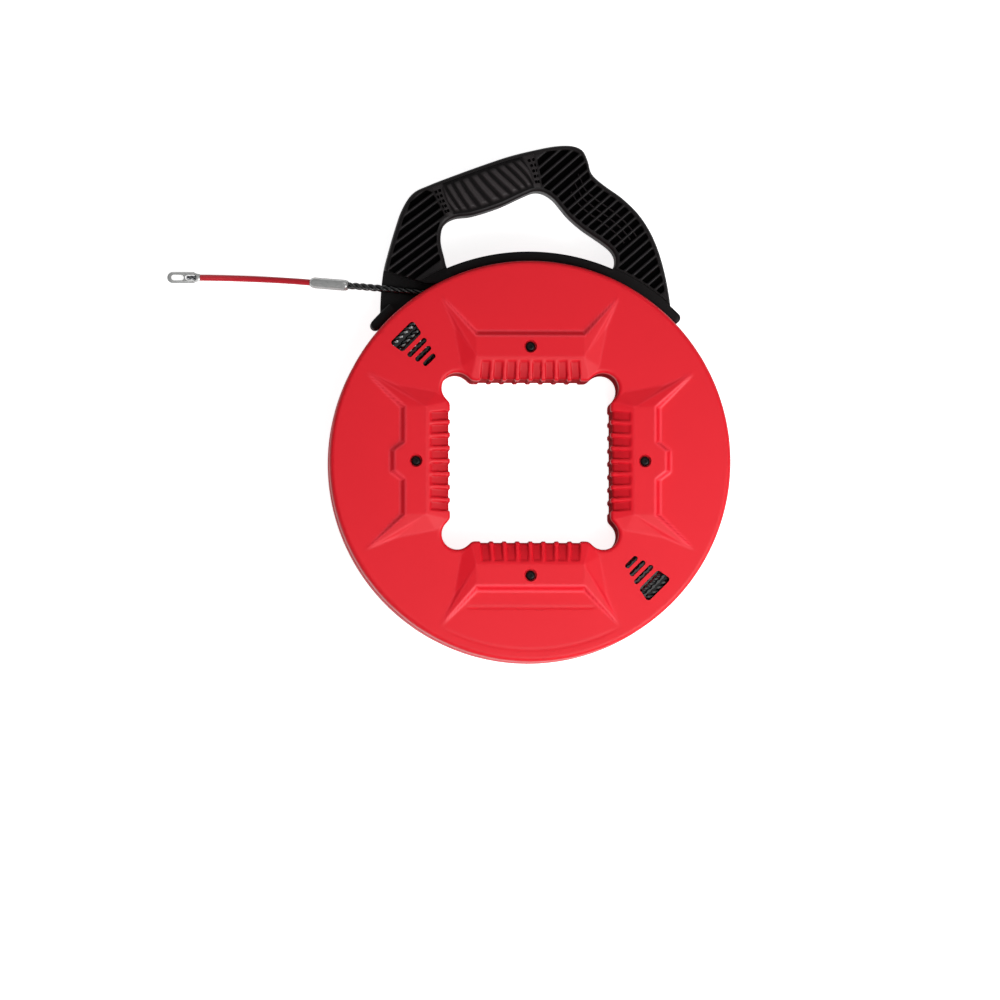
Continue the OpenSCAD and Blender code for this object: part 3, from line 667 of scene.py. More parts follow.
def buildCords():
    tailPath, leaderPath = smoothRoute(tape["tail"]), smoothRoute(leader["route"])
    tail = twistTape("tapeTail", [tailPath], tapeStrand)
    finishPiece(tail, tapeStrand, "handle", ["tape_tail"], 60)
    run = twistTape("tapeRun", [smoothRoute(tape["run"])], tapeStrand)
    finishPiece(run, tapeStrand, "handle", ["tape_run"], 60)

    jacket = curvePiece("leaderJacket", [leaderPath])
    jacket.data.bevel_depth = leader["diameter"] / 2 * mm
    jacket.data.bevel_resolution = 6
    jacket.data.use_fill_caps = True
    for spline in jacket.data.splines:
        spline.use_smooth = True
    finishPiece(jacket, leaderJacket, "handle", ["leader"])
    return tail, tailPath, jacket, leaderPath


tapeTail, tailPath, leaderPiece, leaderPath = buildCords()


ferruleSize = {"diameter": 8.6, "taper": 4, "mouth": 0.5, "bevel": 0.35, "fullness": 1.2, "sides": 40}
eyeSize = {"length": 25, "width": 8.6, "thickness": 5, "round": 0.9,
           "slot": (17.1, 9.5, 4.3), "window": (7.2, 8.4, 4.6)}    # centre, length and width


def orientTo(piece, start, end):  # turns +Z of a piece at the origin onto the line from start to end
    way = Vector(end) - Vector(start)
    turn = way.to_track_quat("Z", "Y")
    for vertex in piece.data.vertices:
        vertex.co = turn @ vertex.co + Vector(start) * mm


def buildFerrule():
    s = ferruleSize
    start, end = tailPath[-1], leaderPath[0]
    long = float(np.linalg.norm(end - start))
    radius = s["diameter"] / 2

    def halfProfile(cord):  # from the axis at one end out to the full radius
        mouth, bevel = cord["diameter"] / 2 + s["mouth"], s["bevel"]
        swell = [(mouth + (radius - mouth) * math.sin(a) ** s["fullness"],
                  bevel + s["taper"] * (1 - math.cos(a))) for a in np.radians([20, 40, 60, 75, 90])]
        return [(nearAxis, 0), (mouth - 0.5, 0), (mouth, bevel)] + swell

    profile = halfProfile(tape) + [(r, long - z) for r, z in reversed(halfProfile(leader))]
    piece = lathe("ferruleSleeve", profile, s["sides"])
    orientTo(piece, start, end)
    return finishPiece(piece, fittingSteel, "handle", ["ferrule"], 50)


def slotOutline(centre, length, width, steps=10):
    half = (length - width) / 2
    return (arcPoints((centre + half, 0), width / 2, -90, 90, steps)
            + arcPoints((centre - half, 0), width / 2, 90, 270, steps))


def buildEye():
    s = eyeSize
    half, long = s["width"] / 2, s["length"]
    edge = s["round"]
    thin = s["thickness"] / 2
    steps = [(-thin, edge), (-thin + edge * 0.3, edge * 0.3), (-thin + edge, 0)]
    steps += [(-z, inset) for z, inset in reversed(steps)]

    def outline(inset):
        w = half - inset
        neck = [(inset, w * 0.62), (2.5, w * 0.72), (5, w)]
        return [(x, -y) for x, y in neck] + arcPoints((long - half, 0), w, -90, 90, 14) + neck[::-1]

    body = stack("pullEye", outline, steps)
    flare = [(-4, 1.2), (-thin, 0.7), (-1.5, 0), (1.5, 0), (thin, 0.7), (4, 1.2)]
    for centre, length, width in (s["slot"], s["window"]):
        cut(body, stack("eyeCut", lambda grow: slotOutline(centre, length + grow, width + grow), flare))
    x, y, z = leader["route"][-1]
    for vertex in body.data.vertices:
        vertex.co = Vector((-vertex.co.x + x * mm, -vertex.co.y + y * mm, vertex.co.z + z * mm))
    finishPiece(body, fittingSteel, "handle", ["pull_eye"], 50)

    cable = twistTape("cableEnd", [[(x + 0.5, y, z), (x - 10, y, z)]], cableSteel, diameter=3.3, pitch=7,
                      step=0.4, sides=8)
    finishPiece(cable, cableSteel, "handle", ["leader_core"], 60)
    return body, cable


ferrulePiece = buildFerrule()
eyePiece, cableEnd = buildEye()
print("reel: tape, ferrule, leader and eye are made")


caseSize = {
    "radius": 152.5, "face": 62, "top": 66, "wall": 3, "slot": 10,
    "rimRound": 3.5, "hornEnd": 143,
    "hubHalf": 61, "lobeR": 12, "lobeCentre": 55.5, "drumOut": 95.99,
    "padIn": 79, "padOut": 95, "step": 4, "padHalf": 41, "footHalf": 52.5, "hornAngle": 28.4,
    "screwR": 87, "recess": 8.8, "recessDepth": 4,
    "grooves": 8, "groovePitch": 9.95, "grooveFan": 0.022, "grooveEnd": 76, "grooveWidth": 6.6,
    "grooveDepth": (1.1, 2.5),    # at the outer end and at the opening
    # grooveShade: strength of the painted shade in the grip grooves
    "grooveWave": 1.1, "grooveShade": 0.75,
    "crease": (111.3, 48), "panelArc": (143.5, 30), "lineWidth": 0.9, "lineDepth": 0.45, "arcShare": 0.6,
    "bulge": (8, 8, 14),      # reach, flat half-length and foot half-length of the side pads' swellings
    "edge": 3,                # rounding of the hub's edge
    "sideSteps": 136, "lobeSteps": 40, "rows": 84,
    # the last two: width and bend limits of the painted highlight along the pads' edges
    "cell": 0.5, "soften": 0.9, "highlightWidth": 0.9, "highlightBend": (0.02, 0.14),
}
quarterWays = ((1, 0), (0, 1), (-1, 0), (0, -1))


def tentHeight(x, y, corners):  # height over a triangle with corners (x, y, z), and minus one outside it
    (ax, ay, az), (bx, by, bz), (cx, cy, cz) = corners
    area = (bx - ax) * (cy - ay) - (cx - ax) * (by - ay)
    u = ((x - ax) * (cy - ay) - (cx - ax) * (y - ay)) / area
    v = ((bx - ax) * (y - ay) - (x - ax) * (by - ay)) / area
    height = az + u * (bz - az) + v * (cz - az)
    return np.where((u >= 0) & (v >= 0) & (u + v <= 1), height, -1)


def padRelief(x, y, bulging):  # rise of the +Y pad over the face
    s = caseSize
    rise = s["top"] - s["face"]
    hub, half = s["hubHalf"], s["padHalf"]
    lean = math.radians(s["hornAngle"])
    tip = (s["hornEnd"] * math.sin(lean), s["hornEnd"] * math.cos(lean), 0)
    footY = hub + (s["padIn"] - hub) * 0.6
    swell = ((s["footHalf"] + tip[0]) / 2 - 2, (footY + tip[1]) / 2 + 4, 0)
    foot = [(half + 4.5, hub - 1, 0), (s["footHalf"], footY, 0), swell, tip,
            (half, s["padOut"] + s["step"], 0)]
    inner, outer = (half, s["padIn"], rise), (half, s["padOut"], rise)
    flip = [(-px, py, pz) for px, py, pz in (inner, outer, foot[0], foot[4])]
    height = np.zeros_like(x)
    sheets = [(inner, flip[0], flip[2]), (inner, flip[2], foot[0]), (inner, outer, flip[1]),
              (inner, flip[1], flip[0]), (outer, foot[4], flip[3]), (outer, flip[3], flip[1])]
    for corners in sheets:
        height = np.maximum(height, tentHeight(x, y, corners))
    side = np.abs(x)
    for corners in [(inner, foot[0], foot[1]), (inner, foot[1], foot[2]), (inner, foot[2], tip),
                    (inner, tip, outer), (outer, tip, foot[4])]:
        height = np.maximum(height, tentHeight(side, y, corners))
    if bulging:
        reach, flat, base = s["bulge"]
        edge = s["padOut"] + reach * np.clip((base - side) / (base - flat), 0, 1)
        swell = rise * np.clip((edge + s["step"] - y) / s["step"], 0, 1)
        height = np.where((y > s["padIn"]) & (side < base), np.maximum(height, swell), height)
    return height


def blurred(field, width):
    reach = int(width * 3) + 1
    kernel = np.exp(-0.5 * (np.arange(-reach, reach + 1) / width) ** 2)
    kernel /= kernel.sum()
    for axis in (0, 1):
        field = np.apply_along_axis(lambda row: np.convolve(row, kernel, "same"), axis, field)
    return field


def caseRelief():  # rise of all four pads on a square raster, and a painted highlight mask along the edges where the rise bends
    s = caseSize
    line = np.arange(-s["radius"] - 2, s["radius"] + 2, s["cell"])
    x, y = np.meshgrid(line, line, indexing="ij")
    total = np.zeros_like(x)
    for quarter, (c, n) in enumerate(quarterWays):
        total = np.maximum(total, padRelief(x * c + y * n, -x * n + y * c, quarter % 2 == 1))
    rise = blurred(total, s["soften"])
    # painted highlight where the blurred rise bends sharply, on the pads' edges
    bend = sum(np.roll(rise, step, axis) for step in (-1, 1) for axis in (0, 1)) - 4 * rise
    low, high = s["highlightBend"]
    return line[0], rise, np.clip((np.abs(blurred(bend, s["highlightWidth"])) - low) / (high - low), 0, 1)


reliefStart, reliefField, paintedHighlightField = caseRelief()


def fieldAt(r, x, y):
    u, v = ((np.asarray(place) - reliefStart) / caseSize["cell"] for place in (x, y))
    i, j = np.floor(u).astype(int), np.floor(v).astype(int)
    f, g = u - i, v - j
    return (r[i, j] * (1 - f) * (1 - g) + r[i + 1, j] * f * (1 - g)
            + r[i, j + 1] * (1 - f) * g + r[i + 1, j + 1] * f * g)


def grooveMask(along, across):  # one in the middle of a grip groove and zero on the ribs between
    s = caseSize
    pitch = s["groovePitch"] - s["grooveFan"] * (across - s["hubHalf"])
    nearest = np.round(along / pitch - 0.5) + 0.5
    inRow = np.abs(nearest) < s["grooves"] / 2
    away = np.abs(along - nearest * pitch)
    return np.where(inRow, smoothStep((s["grooveWidth"] / 2 + 0.5 - away) / 1.1), 0)


def grooveDrop(x, y):  # depth of the grip grooves under the pad
    s = caseSize
    across = np.maximum(np.abs(x), np.abs(y))
    run = np.where(np.abs(x) > np.abs(y), y, x)
    share = np.clip((s["grooveEnd"] - across) / (s["grooveEnd"] - s["hubHalf"]), 0, 1)
    depth = s["grooveDepth"][0] + (s["grooveDepth"][1] - s["grooveDepth"][0]) * share
    return grooveMask(run, across) * smoothStep((s["grooveEnd"] + 0.4 - across) / 0.9) * depth


def panelLines(x, y):  # depth of the crease and the arc that frame the -Y pad's panel
    s = caseSize
    line, half = s["crease"]
    crease = np.exp(-((-y - line) / s["lineWidth"]) ** 2) * smoothStep((half + 1 - np.abs(x)) / 2)
    radius, spread = s["panelArc"]
    turn = np.abs(np.degrees(np.arctan2(x, -y)))
    arc = np.exp(-((np.hypot(x, y) - radius) / s["lineWidth"]) ** 2) * smoothStep((spread - turn) / 8)
    return s["lineDepth"] * (crease + s["arcShare"] * arc)


def hubOutline():  # points round the opening
    s = caseSize
    half, centre, lobe = s["hubHalf"], s["lobeCentre"], s["lobeR"]
    drop = math.sqrt(lobe ** 2 - (half - centre) ** 2)
    first = math.degrees(math.atan2(-drop, half - centre))
    side = [(half, y) for y in np.linspace(drop - centre, centre - drop, s["sideSteps"], endpoint=False)]
    corner = arcPoints((centre, centre), lobe, first, 90 - first, s["lobeSteps"])[:-1]
    quarter = np.array(side + corner)
    ring = np.concatenate([rotateOutline(quarter, 90 * k) for k in range(4)])
    return evenOut(ring, 10)


def caseShell(name, front):
    s = caseSize
    ring = hubOutline()
    ahead = np.roll(ring, -1, 0) - np.roll(ring, 1, 0)
    out = np.stack([ahead[:, 1], -ahead[:, 0]], 1) / np.linalg.norm(ahead, axis=1)[:, None]
    onSide = np.abs(np.abs(ring).max(1) - s["hubHalf"]) < 0.4
    along = np.where(np.abs(ring[:, 0]) > np.abs(ring[:, 1]), ring[:, 1], ring[:, 0])
    wave = np.where(onSide, grooveMask(along, s["hubHalf"]), 0)
    ring = ring + out * (wave * s["grooveWave"])[:, None]

    polar = np.maximum.accumulate(np.unwrap(np.arctan2(ring[:, 1], ring[:, 0])))
    polar = evenOut(polar, 6, 2 * math.pi)
    spoke = np.stack([np.cos(polar), np.sin(polar)], 1)

    bend = s["radius"] - s["rimRound"]
    low = s["face"] - s["rimRound"]

    def faceHeight(points):
        x, y = points[:, 0], points[:, 1]
        return s["face"] + fieldAt(reliefField, x, y) - grooveDrop(x, y) - panelLines(x, y)

    def level(points, z):
        return np.column_stack([points, np.broadcast_to(z, len(points))])

    edge = s["edge"]
    rings = [level(ring, partingZ + rise) for rise in (0, 6, 16)]
    for a in np.radians([0, 15, 30, 45, 60, 75]):
        points = ring + out * edge * (1 - math.cos(a))
        rings.append(level(points, faceHeight(ring + out * edge) - edge * (1 - math.sin(a))))
    start = ring + out * edge
    finish = spoke * bend
    for t in np.linspace(0, 1, s["rows"] + 1):
        points = start + (finish - start) * t
        rings.append(level(points, faceHeight(points)))
    for a in np.radians(np.linspace(0, 90, 11)[1:]):
        points = spoke * (bend + s["rimRound"] * math.sin(a))
        rise = fieldAt(reliefField, points[:, 0], points[:, 1]) * math.cos(a)
        rings.append(level(points, low + s["rimRound"] * math.cos(a) + rise))
    outer = s["radius"]
    bottom = partingZ + s["slot"] / 2
    inner = outer - s["wall"]
    ceiling = s["face"] - s["wall"]
    drum = s["drumOut"]
    rimPath = [(outer, low - 4), (outer, bottom + 8), (outer, bottom + 0.8),
               (outer - 0.2, bottom + 0.25), (outer - 0.7, bottom), (inner + 0.4, bottom),
               (inner, bottom + 0.4), (inner, ceiling - 3.5), (inner - 1, ceiling - 1),
               (inner - 3.5, ceiling), (inner - 25, ceiling),
               (drum + 1, ceiling), (drum, ceiling - 1), (drum, partingZ)]
    rings = np.array(rings + [level(spoke * r, z) for r, z in rimPath])
    if not front:
        rings[:, :, 2] = 2 * partingZ - rings[:, :, 2]
    shell = skinRings(name, rings, loop=True)
    flat = rings.reshape(-1, 3)
    # painted shade: in the grip grooves by their depth, and full on the hub's inner wall
    paintedShadeMask = s["grooveShade"] * grooveDrop(flat[:, 0], flat[:, 1]) / s["grooveDepth"][1]
    inWall = np.abs(flat[:, 2] - partingZ) < s["face"] - partingZ - 4
    paintedShadeMask = np.where(inWall & (np.hypot(flat[:, 0], flat[:, 1]) < s["drumOut"] - 1), 1, paintedShadeMask)
    setFloats(shell, "cavity", paintedShadeMask)
    # painted highlight along the bent edges of the outer face
    outside = np.abs(flat[:, 2] - partingZ) > s["face"] - partingZ - 2
    setFloats(shell, "worn", outside * fieldAt(paintedHighlightField, flat[:, 0], flat[:, 1]))
    return shell


windowSize = {"radius": 133, "angles": (135, 315),
              "width": 12, "length": 24, "corner": 2.5, "splay": 1.3,
              "vents": 3, "vent": 3.9, "ventLong": 19.2, "ventShrink": 0.19,
              "ventFirst": 5.2, "ventStep": 6.6}


def windowOutline():
    s = windowSize
    c = s["corner"]
    x, y = s["width"] / 2 - c, s["length"] / 2 - c
    corners = [((x, -y), -90), ((x, y), 0), ((-x, y - s["splay"]), 90), ((-x, s["splay"] - y), 180)]
    return [(px + s["radius"], py) for centre, first in corners
            for px, py in arcPoints(centre, c, first, first + 90, 5)]


def openWindows(shell, front):
    s, c = windowSize, caseSize
    low, high = heightPair(c["face"] - 8, c["top"] + 3, front)    # well past the wall on both sides
    sites = []
    for angle in s["angles"]:
        cut(shell, prism("window", rotateOutline(windowOutline(), angle), low, high))
        for k in range(s["vents"]):
            r = s["radius"] - s["width"] / 2 - s["ventFirst"] - k * s["ventStep"]
            reach = (s["ventLong"] * (1 - k * s["ventShrink"]) - s["vent"]) / 2
            sites.append((*turnPoint(r, angle), 0, math.radians(angle + 90), reach))
    cut(shell, placeAll("vents", slotShape("ventShape", s["vent"], low, high), sites, blackNylon))


def buildCase():
    s = caseSize
    front, back = caseShell("caseFront", True), caseShell("caseBack", False)
    openWindows(front, True)
    openWindows(back, False)
    sites = [(s["screwR"] * c, s["screwR"] * n, 0, 0, 0) for c, n in quarterWays]
    floor = s["top"] - s["recessDepth"]
    recess = slotShape("recessShape", s["recess"], floor, s["top"], flare=0.5, sides=48)
    cut(front, placeAll("recesses", recess, sites, redShell))
    finishPiece(front, redShell, "reel", ["case_front"], 40)
    finishPiece(back, redShell, "reel", ["case_back"], 40)


buildCase()
print("reel: case is made")


# the socket's radius and floor are shares of the head
screwSize = {"shank": 4, "head": 7.2, "height": 2.8, "socket": 0.23, "socketFloor": 0.4, "intoBack": 16}


def screwShape(name, head, height, length, flip):
    s = screwSize
    r, shank = head / 2, s["shank"] / 2
    profile = [(nearAxis, -length), (shank, -length), (shank, 0),
               (r - 0.3, 0), (r, 0.3), (r, height * 0.5)]
    profile += [(r * (1 - 0.32 * t ** 2), height * (0.5 + 0.5 * t)) for t in (0.35, 0.65, 0.85, 1.0)]
    profile.append((nearAxis, height))
    shape = lathe(name, profile, 32)
    socket = [turnPoint(head * s["socket"], angle) for angle in range(0, 360, 60)]
    cut(shape, prism("socket", socket, height * s["socketFloor"], height + 2))
    if flip:
        for vertex in shape.data.vertices:
            vertex.co = Vector((vertex.co.x, -vertex.co.y, -vertex.co.z))
    return shape


def placeScrews(name, places, turn, head, height, length, body, node, flip=False):
    sites = [(*place, turn * k, 0) for k, place in enumerate(places)]
    placed = placeAll(name + "s", screwShape(name, head, height, length, flip), sites, blackScrew)
    finishPiece(placed, blackScrew, body, [node], 40)


def buildCaseScrews():
    s, c = screwSize, caseSize
    seat = c["top"] - c["recessDepth"]
    places = [(c["screwR"] * x, c["screwR"] * y, seat) for x, y in quarterWays]
    placeScrews("caseScrew", places, 0.3, s["head"], s["height"], seat - partingZ + s["intoBack"],
                "reel", "case_screws")


buildCaseScrews()


coilSize = {"in": 104, "out": 139.6, "half": 25.7, "points": 120, "shift": (0.35, 0.5),
            "strand": {"pitch": 15, "step": 2.4, "sides": 5}}


def buildCoil():
    s, mid = coilSize, partingZ
    d, n = tape["diameter"], s["points"]
    across = int((s["out"] - s["in"]) / d)
    up = int(2 * s["half"] / d)
    circles = []
    for i in range(across):
        for j in range(up):
            if 0 < j < up - 1 and i < across - 1:
                continue    # nothing shows of the turns inside
            r = s["in"] + d / 2 + (s["out"] - s["in"] - d) * i / (across - 1)
            z = mid - s["half"] + d / 2 + (2 * s["half"] - d) * j / (up - 1)
            turn = np.arange(n) * 2 * math.pi / n + s["shift"][0] * i + s["shift"][1] * j
            circles.append(np.column_stack([r * np.cos(turn), r * np.sin(turn), np.full(n, z)]))
    wound = twistTape("tapeWinding", circles, tapeStrand, closed=True, **s["strand"])
    core = d * 0.55
    low, high = mid - s["half"] + core, mid + s["half"] - core
    ring = tube("tapeCore", s["in"] + core, s["out"] - d * 0.25, low, high, 96)
    finishPiece(wound, tapeStrand, "reel", ["tape_coil"], 70)
    finishPiece(ring, tapeStrand, "reel", ["tape_coil"], 40)


buildCoil()
print("reel: wound tape is made")


handleSize = {
    "half": 16, "inset": 0.05, "edge": 3.5, "border": 3.5,
    "ribDepth": 6, "ribPitch": 6.4, "rib": 2.4, "corner": 0.9,
    # corner and lean of the left foot's edge, and the slots' gap to it
    "foot": ((-130, 139), 17.5, 1.2),
    "saddleIn": 152.9, "saddleOut": 160.7, "saddleHalf": 10.6, "relief": 0.6,
    # saddleShade: share of painted shade on the saddle band
    "saddle": (44.7, 138.2), "frontEnd": 125, "finger": 131.5, "saddleShade": 0.5,
    "panel": 3.55, "gripSeat": 2.5, "gripInset": 2.7,
    "gripLeft": (6.25, 7.0), "gripRight": (11.65, 10.95),    # end stations, inner and outer edge
    "waffle": (14.5, 20),
    "screws": (3, 6, 17.5, 21), "guard": 6.6, "well": (4.2, 20.3), "screwHead": (8, 2.8, 20),
    "tongueHalf": 3.15, "tongueOut": 158.75,
}
# both edges of the bar, from the left foot round to the right foot: outer x and y, inner x and y
barStations = np.array([
    (-113.2, 104, -56, 138), (-112.6, 126, -62.6, 147.5), (-110.6, 146, -65, 156),
    (-106.5, 162.5, -67.2, 165), (-102, 178, -67.5, 172), (-96.5, 193.5, -66, 178.5),
    (-88.5, 204.8, -62, 183.5), (-76, 211, -55, 186.5), (-58, 218, -42.5, 188.2),
    (-37, 225.7, -22.5, 194.6), (-16, 232.8, -6, 202.2), (4, 237.8, 3.5, 206),
    (20, 240.8, 11, 205.2), (32.5, 241, 18, 200.8), (40.5, 237.5, 23.5, 194.5),
    (44.5, 229.5, 28, 189), (47.6, 219.6, 33, 184), (57, 211, 41, 177.4),
    (70, 201.8, 49.5, 171.6), (82, 190.4, 57, 166.4), (91, 177.6, 62.5, 161.5),
    (97.5, 163.5, 65.3, 156), (102.5, 147, 65, 150), (106.3, 128, 61.5, 145.5),
    (109, 106, 55, 136)], float)
lastStation = len(barStations) - 1


def barAt(s):  # outer and inner edge point at station s
    i = min(int(s), lastStation - 1)
    near = (barStations[min(max(k, 0), lastStation)] for k in (i - 1, i, i + 1, i + 2))
    p = catmullRom(*near, s - i)
    return p[:2], p[2:]


def barPoint(s, inward):  # point of the bar at a distance in from its inner edge
    outer, inner = barAt(s)
    return inner + (outer - inner) / np.linalg.norm(outer - inner) * inward


def barWidth(s):
    outer, inner = barAt(s)
    return float(np.linalg.norm(outer - inner))


def barHalf(name, front):
    s = handleSize
    top, edge = s["half"], s["edge"]
    rings = []
    for station in np.linspace(0, lastStation, lastStation * 6 + 1):
        width = barWidth(station)
        section = [(0.5, 0), (s["inset"], 0.5), (s["inset"], top - edge)]
        section += [(s["inset"] + edge - edge * math.cos(a), top - edge + edge * math.sin(a))
                    for a in np.radians([18, 36, 54, 72, 90])]
        section += [(width - x, z) for x, z in reversed(section)]
        rings.append([(*barPoint(station, inward), fromMiddle(z, front)) for inward, z in section])
    return skinRings(name, rings)


def zoneOutline(first, last, inset):  # an end is a station or a pair for the inner and outer edge
    pairs = zip(*(end if isinstance(end, tuple) else (end, end) for end in (first, last)))
    sides = [np.linspace(a, b, int((b - a) * 5) + 1) for a, b in pairs]
    return np.array([barPoint(k, inset) for k in sides[0]]
                    + [barPoint(k, barWidth(k) - inset) for k in sides[1][::-1]])


def insideOutline(outline, points):
    x, y = points[:, 0], points[:, 1]
    hit = np.zeros(len(points), bool)
    for (ax, ay), (bx, by) in zip(outline, np.roll(outline, -1, 0)):
        crosses = (ay > y) != (by > y)
        with np.errstate(divide="ignore", invalid="ignore"):
            hit ^= crosses & (x < (bx - ax) * (y - ay) / (by - ay) + ax)
    return hit


def slotSites(angle, anchor, zone, allowed):  # slots between leaning ribs, each end cut along the zone
    s = handleSize
    width = s["ribPitch"] - s["rib"]
    way = np.array(turnPoint(1, angle))
    side = np.array([-way[1], way[0]])
    run = np.arange(-80, 80, 0.2)

    def stretches(offset):
        line = anchor + run[:, None] * way + side * offset
        free = (insideOutline(zone, line) & allowed(line)).astype(int)
        edges = np.flatnonzero(np.diff(np.concatenate([[0], free, [0]]))).reshape(-1, 2)
        return [(run[a], run[b - 1]) for a, b in edges]

    sites = []
    for row in range(-18, 19):
        offset = row * s["ribPitch"] + width / 2
        flanks = [stretches(offset - width / 2), stretches(offset + width / 2)]
        for first, last in stretches(offset):
            near = [max(flank, key=lambda f: min(f[1], last) - max(f[0], first), default=None)
                    for flank in flanks]
            reach, middle = [], (first + last) / 2
            for end, sign in ((0, -1), (1, 1)):
                for hit in near:
                    own = (first, last)[end]
                    edge = own - sign * width * 0.7
                    if hit is not None and min(hit[1], last) > max(hit[0], first):
                        edge = min(max(hit[end], own - width * 0.7), own + width * 0.7)
                    reach.append((edge - middle) * sign - s["corner"])
            if min(reach) > 0.2 and sum(reach) > width:
                centre = anchor + way * middle + side * offset
                sites.append((centre[0], centre[1], 0, math.radians(angle), tuple(reach)))
    return sites


def allSlots():
    s = handleSize
    corner, lean, gap = s["foot"]
    lean = math.radians(lean)
    wayOut = np.array([math.sin(lean), math.cos(lean)])

    def clearOfCase(points):
        return np.linalg.norm(points, axis=1) > s["saddleOut"] + 2

    def clearOfFoot(points):
        return clearOfCase(points) & ((points - np.array(corner)) @ wayOut > gap)

    leftEnd = tuple(k - 0.12 for k in s["gripLeft"])
    rightStart = tuple(k + 0.12 for k in s["gripRight"])
    sites = []
    for angle, station, first, last, allowed in (
            (37, 3, 0.3, leftEnd, clearOfFoot), (41, 18, rightStart, lastStation - 0.3, clearOfCase)):
        anchor = barPoint(station, barWidth(station) / 2)
        sites += slotSites(angle, anchor, zoneOutline(first, last, s["border"]), allowed)
    return sites


def saddleSolid(name, first, last, front, roundEnds):
    s = handleSize
    inner, outer, high = s["saddleIn"], s["saddleOut"], s["saddleHalf"]
    profile = [(inner, 0), (inner, high - 0.8), (inner + 0.25, high - 0.25), (inner + 0.8, high)]
    profile += [(outer - 2 + 2 * math.sin(a), high - 2 + 2 * math.cos(a))
                for a in np.radians([0, 22, 45, 68, 90])]
    profile.append((outer, 0))
    arc = lathe(name, [(r, fromMiddle(z, front)) for r, z in profile], 120, first, last)
    radius, middle = (outer - inner) / 2 - 0.02, (outer + inner) / 2
    steps = [(fromMiddle(z, front), inset)
             for z, inset in ((0, 0), (high - 1.6, 0), (high - 0.5, 0.5), (high, 1.5))]
    for angle in roundEnds:
        centre = turnPoint(middle, angle)
        add(arc, stack("saddleEnd", lambda inset: arcPoints(centre, radius - inset, 0, 345, 23), steps))
    return arc


tapeWay = [(-52, 123), (-52, 136.5), (-79, 136.5), (-130, 152), (-130, 100), (-90, 100), (-90, 123)]


def fingerSector():
    s = handleSize
    first = s["finger"]
    ray = [(s["saddleOut"] + 0.01, first), (s["saddleOut"] + 3, first + 4), (s["saddleOut"] + 8, 150)]
    return [(0, 0)] + [turnPoint(r, angle) for r, angle in ray]


def trimToCase(piece):
    s = handleSize
    inner, outer, half = s["saddleIn"], s["saddleOut"] + s["relief"], s["saddleHalf"]
    bottom, top = -30, 100
    for r, low, high in ((inner, bottom, top), (outer, partingZ + half, top),
                         (outer, bottom, partingZ - half)):
        cut(piece, tube("clearance", nearAxis, r, low, high, 256))


def cutRibs(piece, front, keepRound=()):
    s = handleSize
    low, high = partingZ + s["half"] - s["ribDepth"], partingZ + s["half"]
    width = s["ribPitch"] - s["rib"]
    shape = slotShape("ribSlot", width, low, high, flare=0.95, corner=s["corner"], sides=16)
    cutters = placeAll("ribSlots", shape, allSlots(), blackNylon)
    if not front:
        flipOver(cutters)
    for x, y in keepRound:
        guard = tube("guard", nearAxis, s["guard"], -20, 80, 40)
        shiftPiece(guard, x, y)
        cut(cutters, guard)
    cut(piece, cutters)


def markPaintedShade(piece, floor):  # painted shade: one on the floors of the slots and a share on the saddle band, for the shader
    s = handleSize
    values = []
    for v in piece.data.vertices:
        x, y, z = v.co / mm
        onSaddle = math.hypot(x, y) < s["saddleOut"] + s["relief"] + 0.05
        values.append(1 if abs(z - floor) < 0.05 else s["saddleShade"] * onSaddle)
    setFloats(piece, "cavity", values)


def waffleRibs(front):  # thin walls that run along the bar across the slots
    s = handleSize
    top, base = s["half"] - 0.5, s["half"] - s["ribDepth"] - 0.5
    section = [(-0.6, base), (-0.45, top - 0.2), (-0.2, top), (0.2, top), (0.45, top - 0.2), (0.6, base)]
    walls = []
    for share in (0.34, 0.5, 0.66):
        rings = []
        for station in np.linspace(*s["waffle"], 34):
            middle = barWidth(station) * share
            rings.append([(*barPoint(station, middle + inward), fromMiddle(z, front))
                          for inward, z in section])
        walls.append(skinRings("waffleRib", rings))
    return walls


def cutGripSeat(piece, front):
    s = handleSize
    outline = zoneOutline(s["gripLeft"], s["gripRight"], s["gripInset"])
    top = partingZ + s["half"]
    cut(piece, prism("gripSeat", outline, *heightPair(top - s["gripSeat"], top + 3, front)))


def screwPlaces():
    return [barPoint(k, barWidth(k) / 2) for k in handleSize["screws"]]


def cutTapeWay(piece, low, keepFinger):
    cutter = prism("tapeWay", tapeWay, low, 120)
    if keepFinger:
        cut(cutter, prism("finger", fingerSector(), 0, 140))
    cut(piece, cutter)


def cutTongueGroove(piece):
    s = handleSize
    low, high = (partingZ + side * s["tongueHalf"] for side in (-1, 1))
    first, last = s["saddle"]
    cut(piece, tube("groove", s["saddleIn"] - 1, s["tongueOut"], low, high, 120, first - 1, last + 1))


def buildHandle(name, front, node):
    s = handleSize
    first, last = s["saddle"]
    piece = barHalf(name, front)
    if front:
        add(piece, saddleSolid("saddleFront", first, s["frontEnd"], True, [first]))
    else:
        add(piece, saddleSolid("saddleBack", first, last, False, [first, last]),
            saddleSolid("fingerFront", s["finger"], last, True, [last]))
    trimToCase(piece)
    cutTapeWay(piece, partingZ - (1 if front else s["panel"]), not front)
    cutTongueGroove(piece)
    cutRibs(piece, front, () if front else screwPlaces())
    cutGripSeat(piece, front)
    for x, y in () if front else screwPlaces():
        well = tube("well", nearAxis, s["well"][0], 0, s["well"][1], 40)
        shiftPiece(well, x, y)
        cut(piece, well)
    piece = joinPieces(name, [piece, *waffleRibs(front)])
    markPaintedShade(piece, fromMiddle(s["half"] - s["ribDepth"], front))
    finishPiece(piece, blackNylon, "handle", [node], 32)


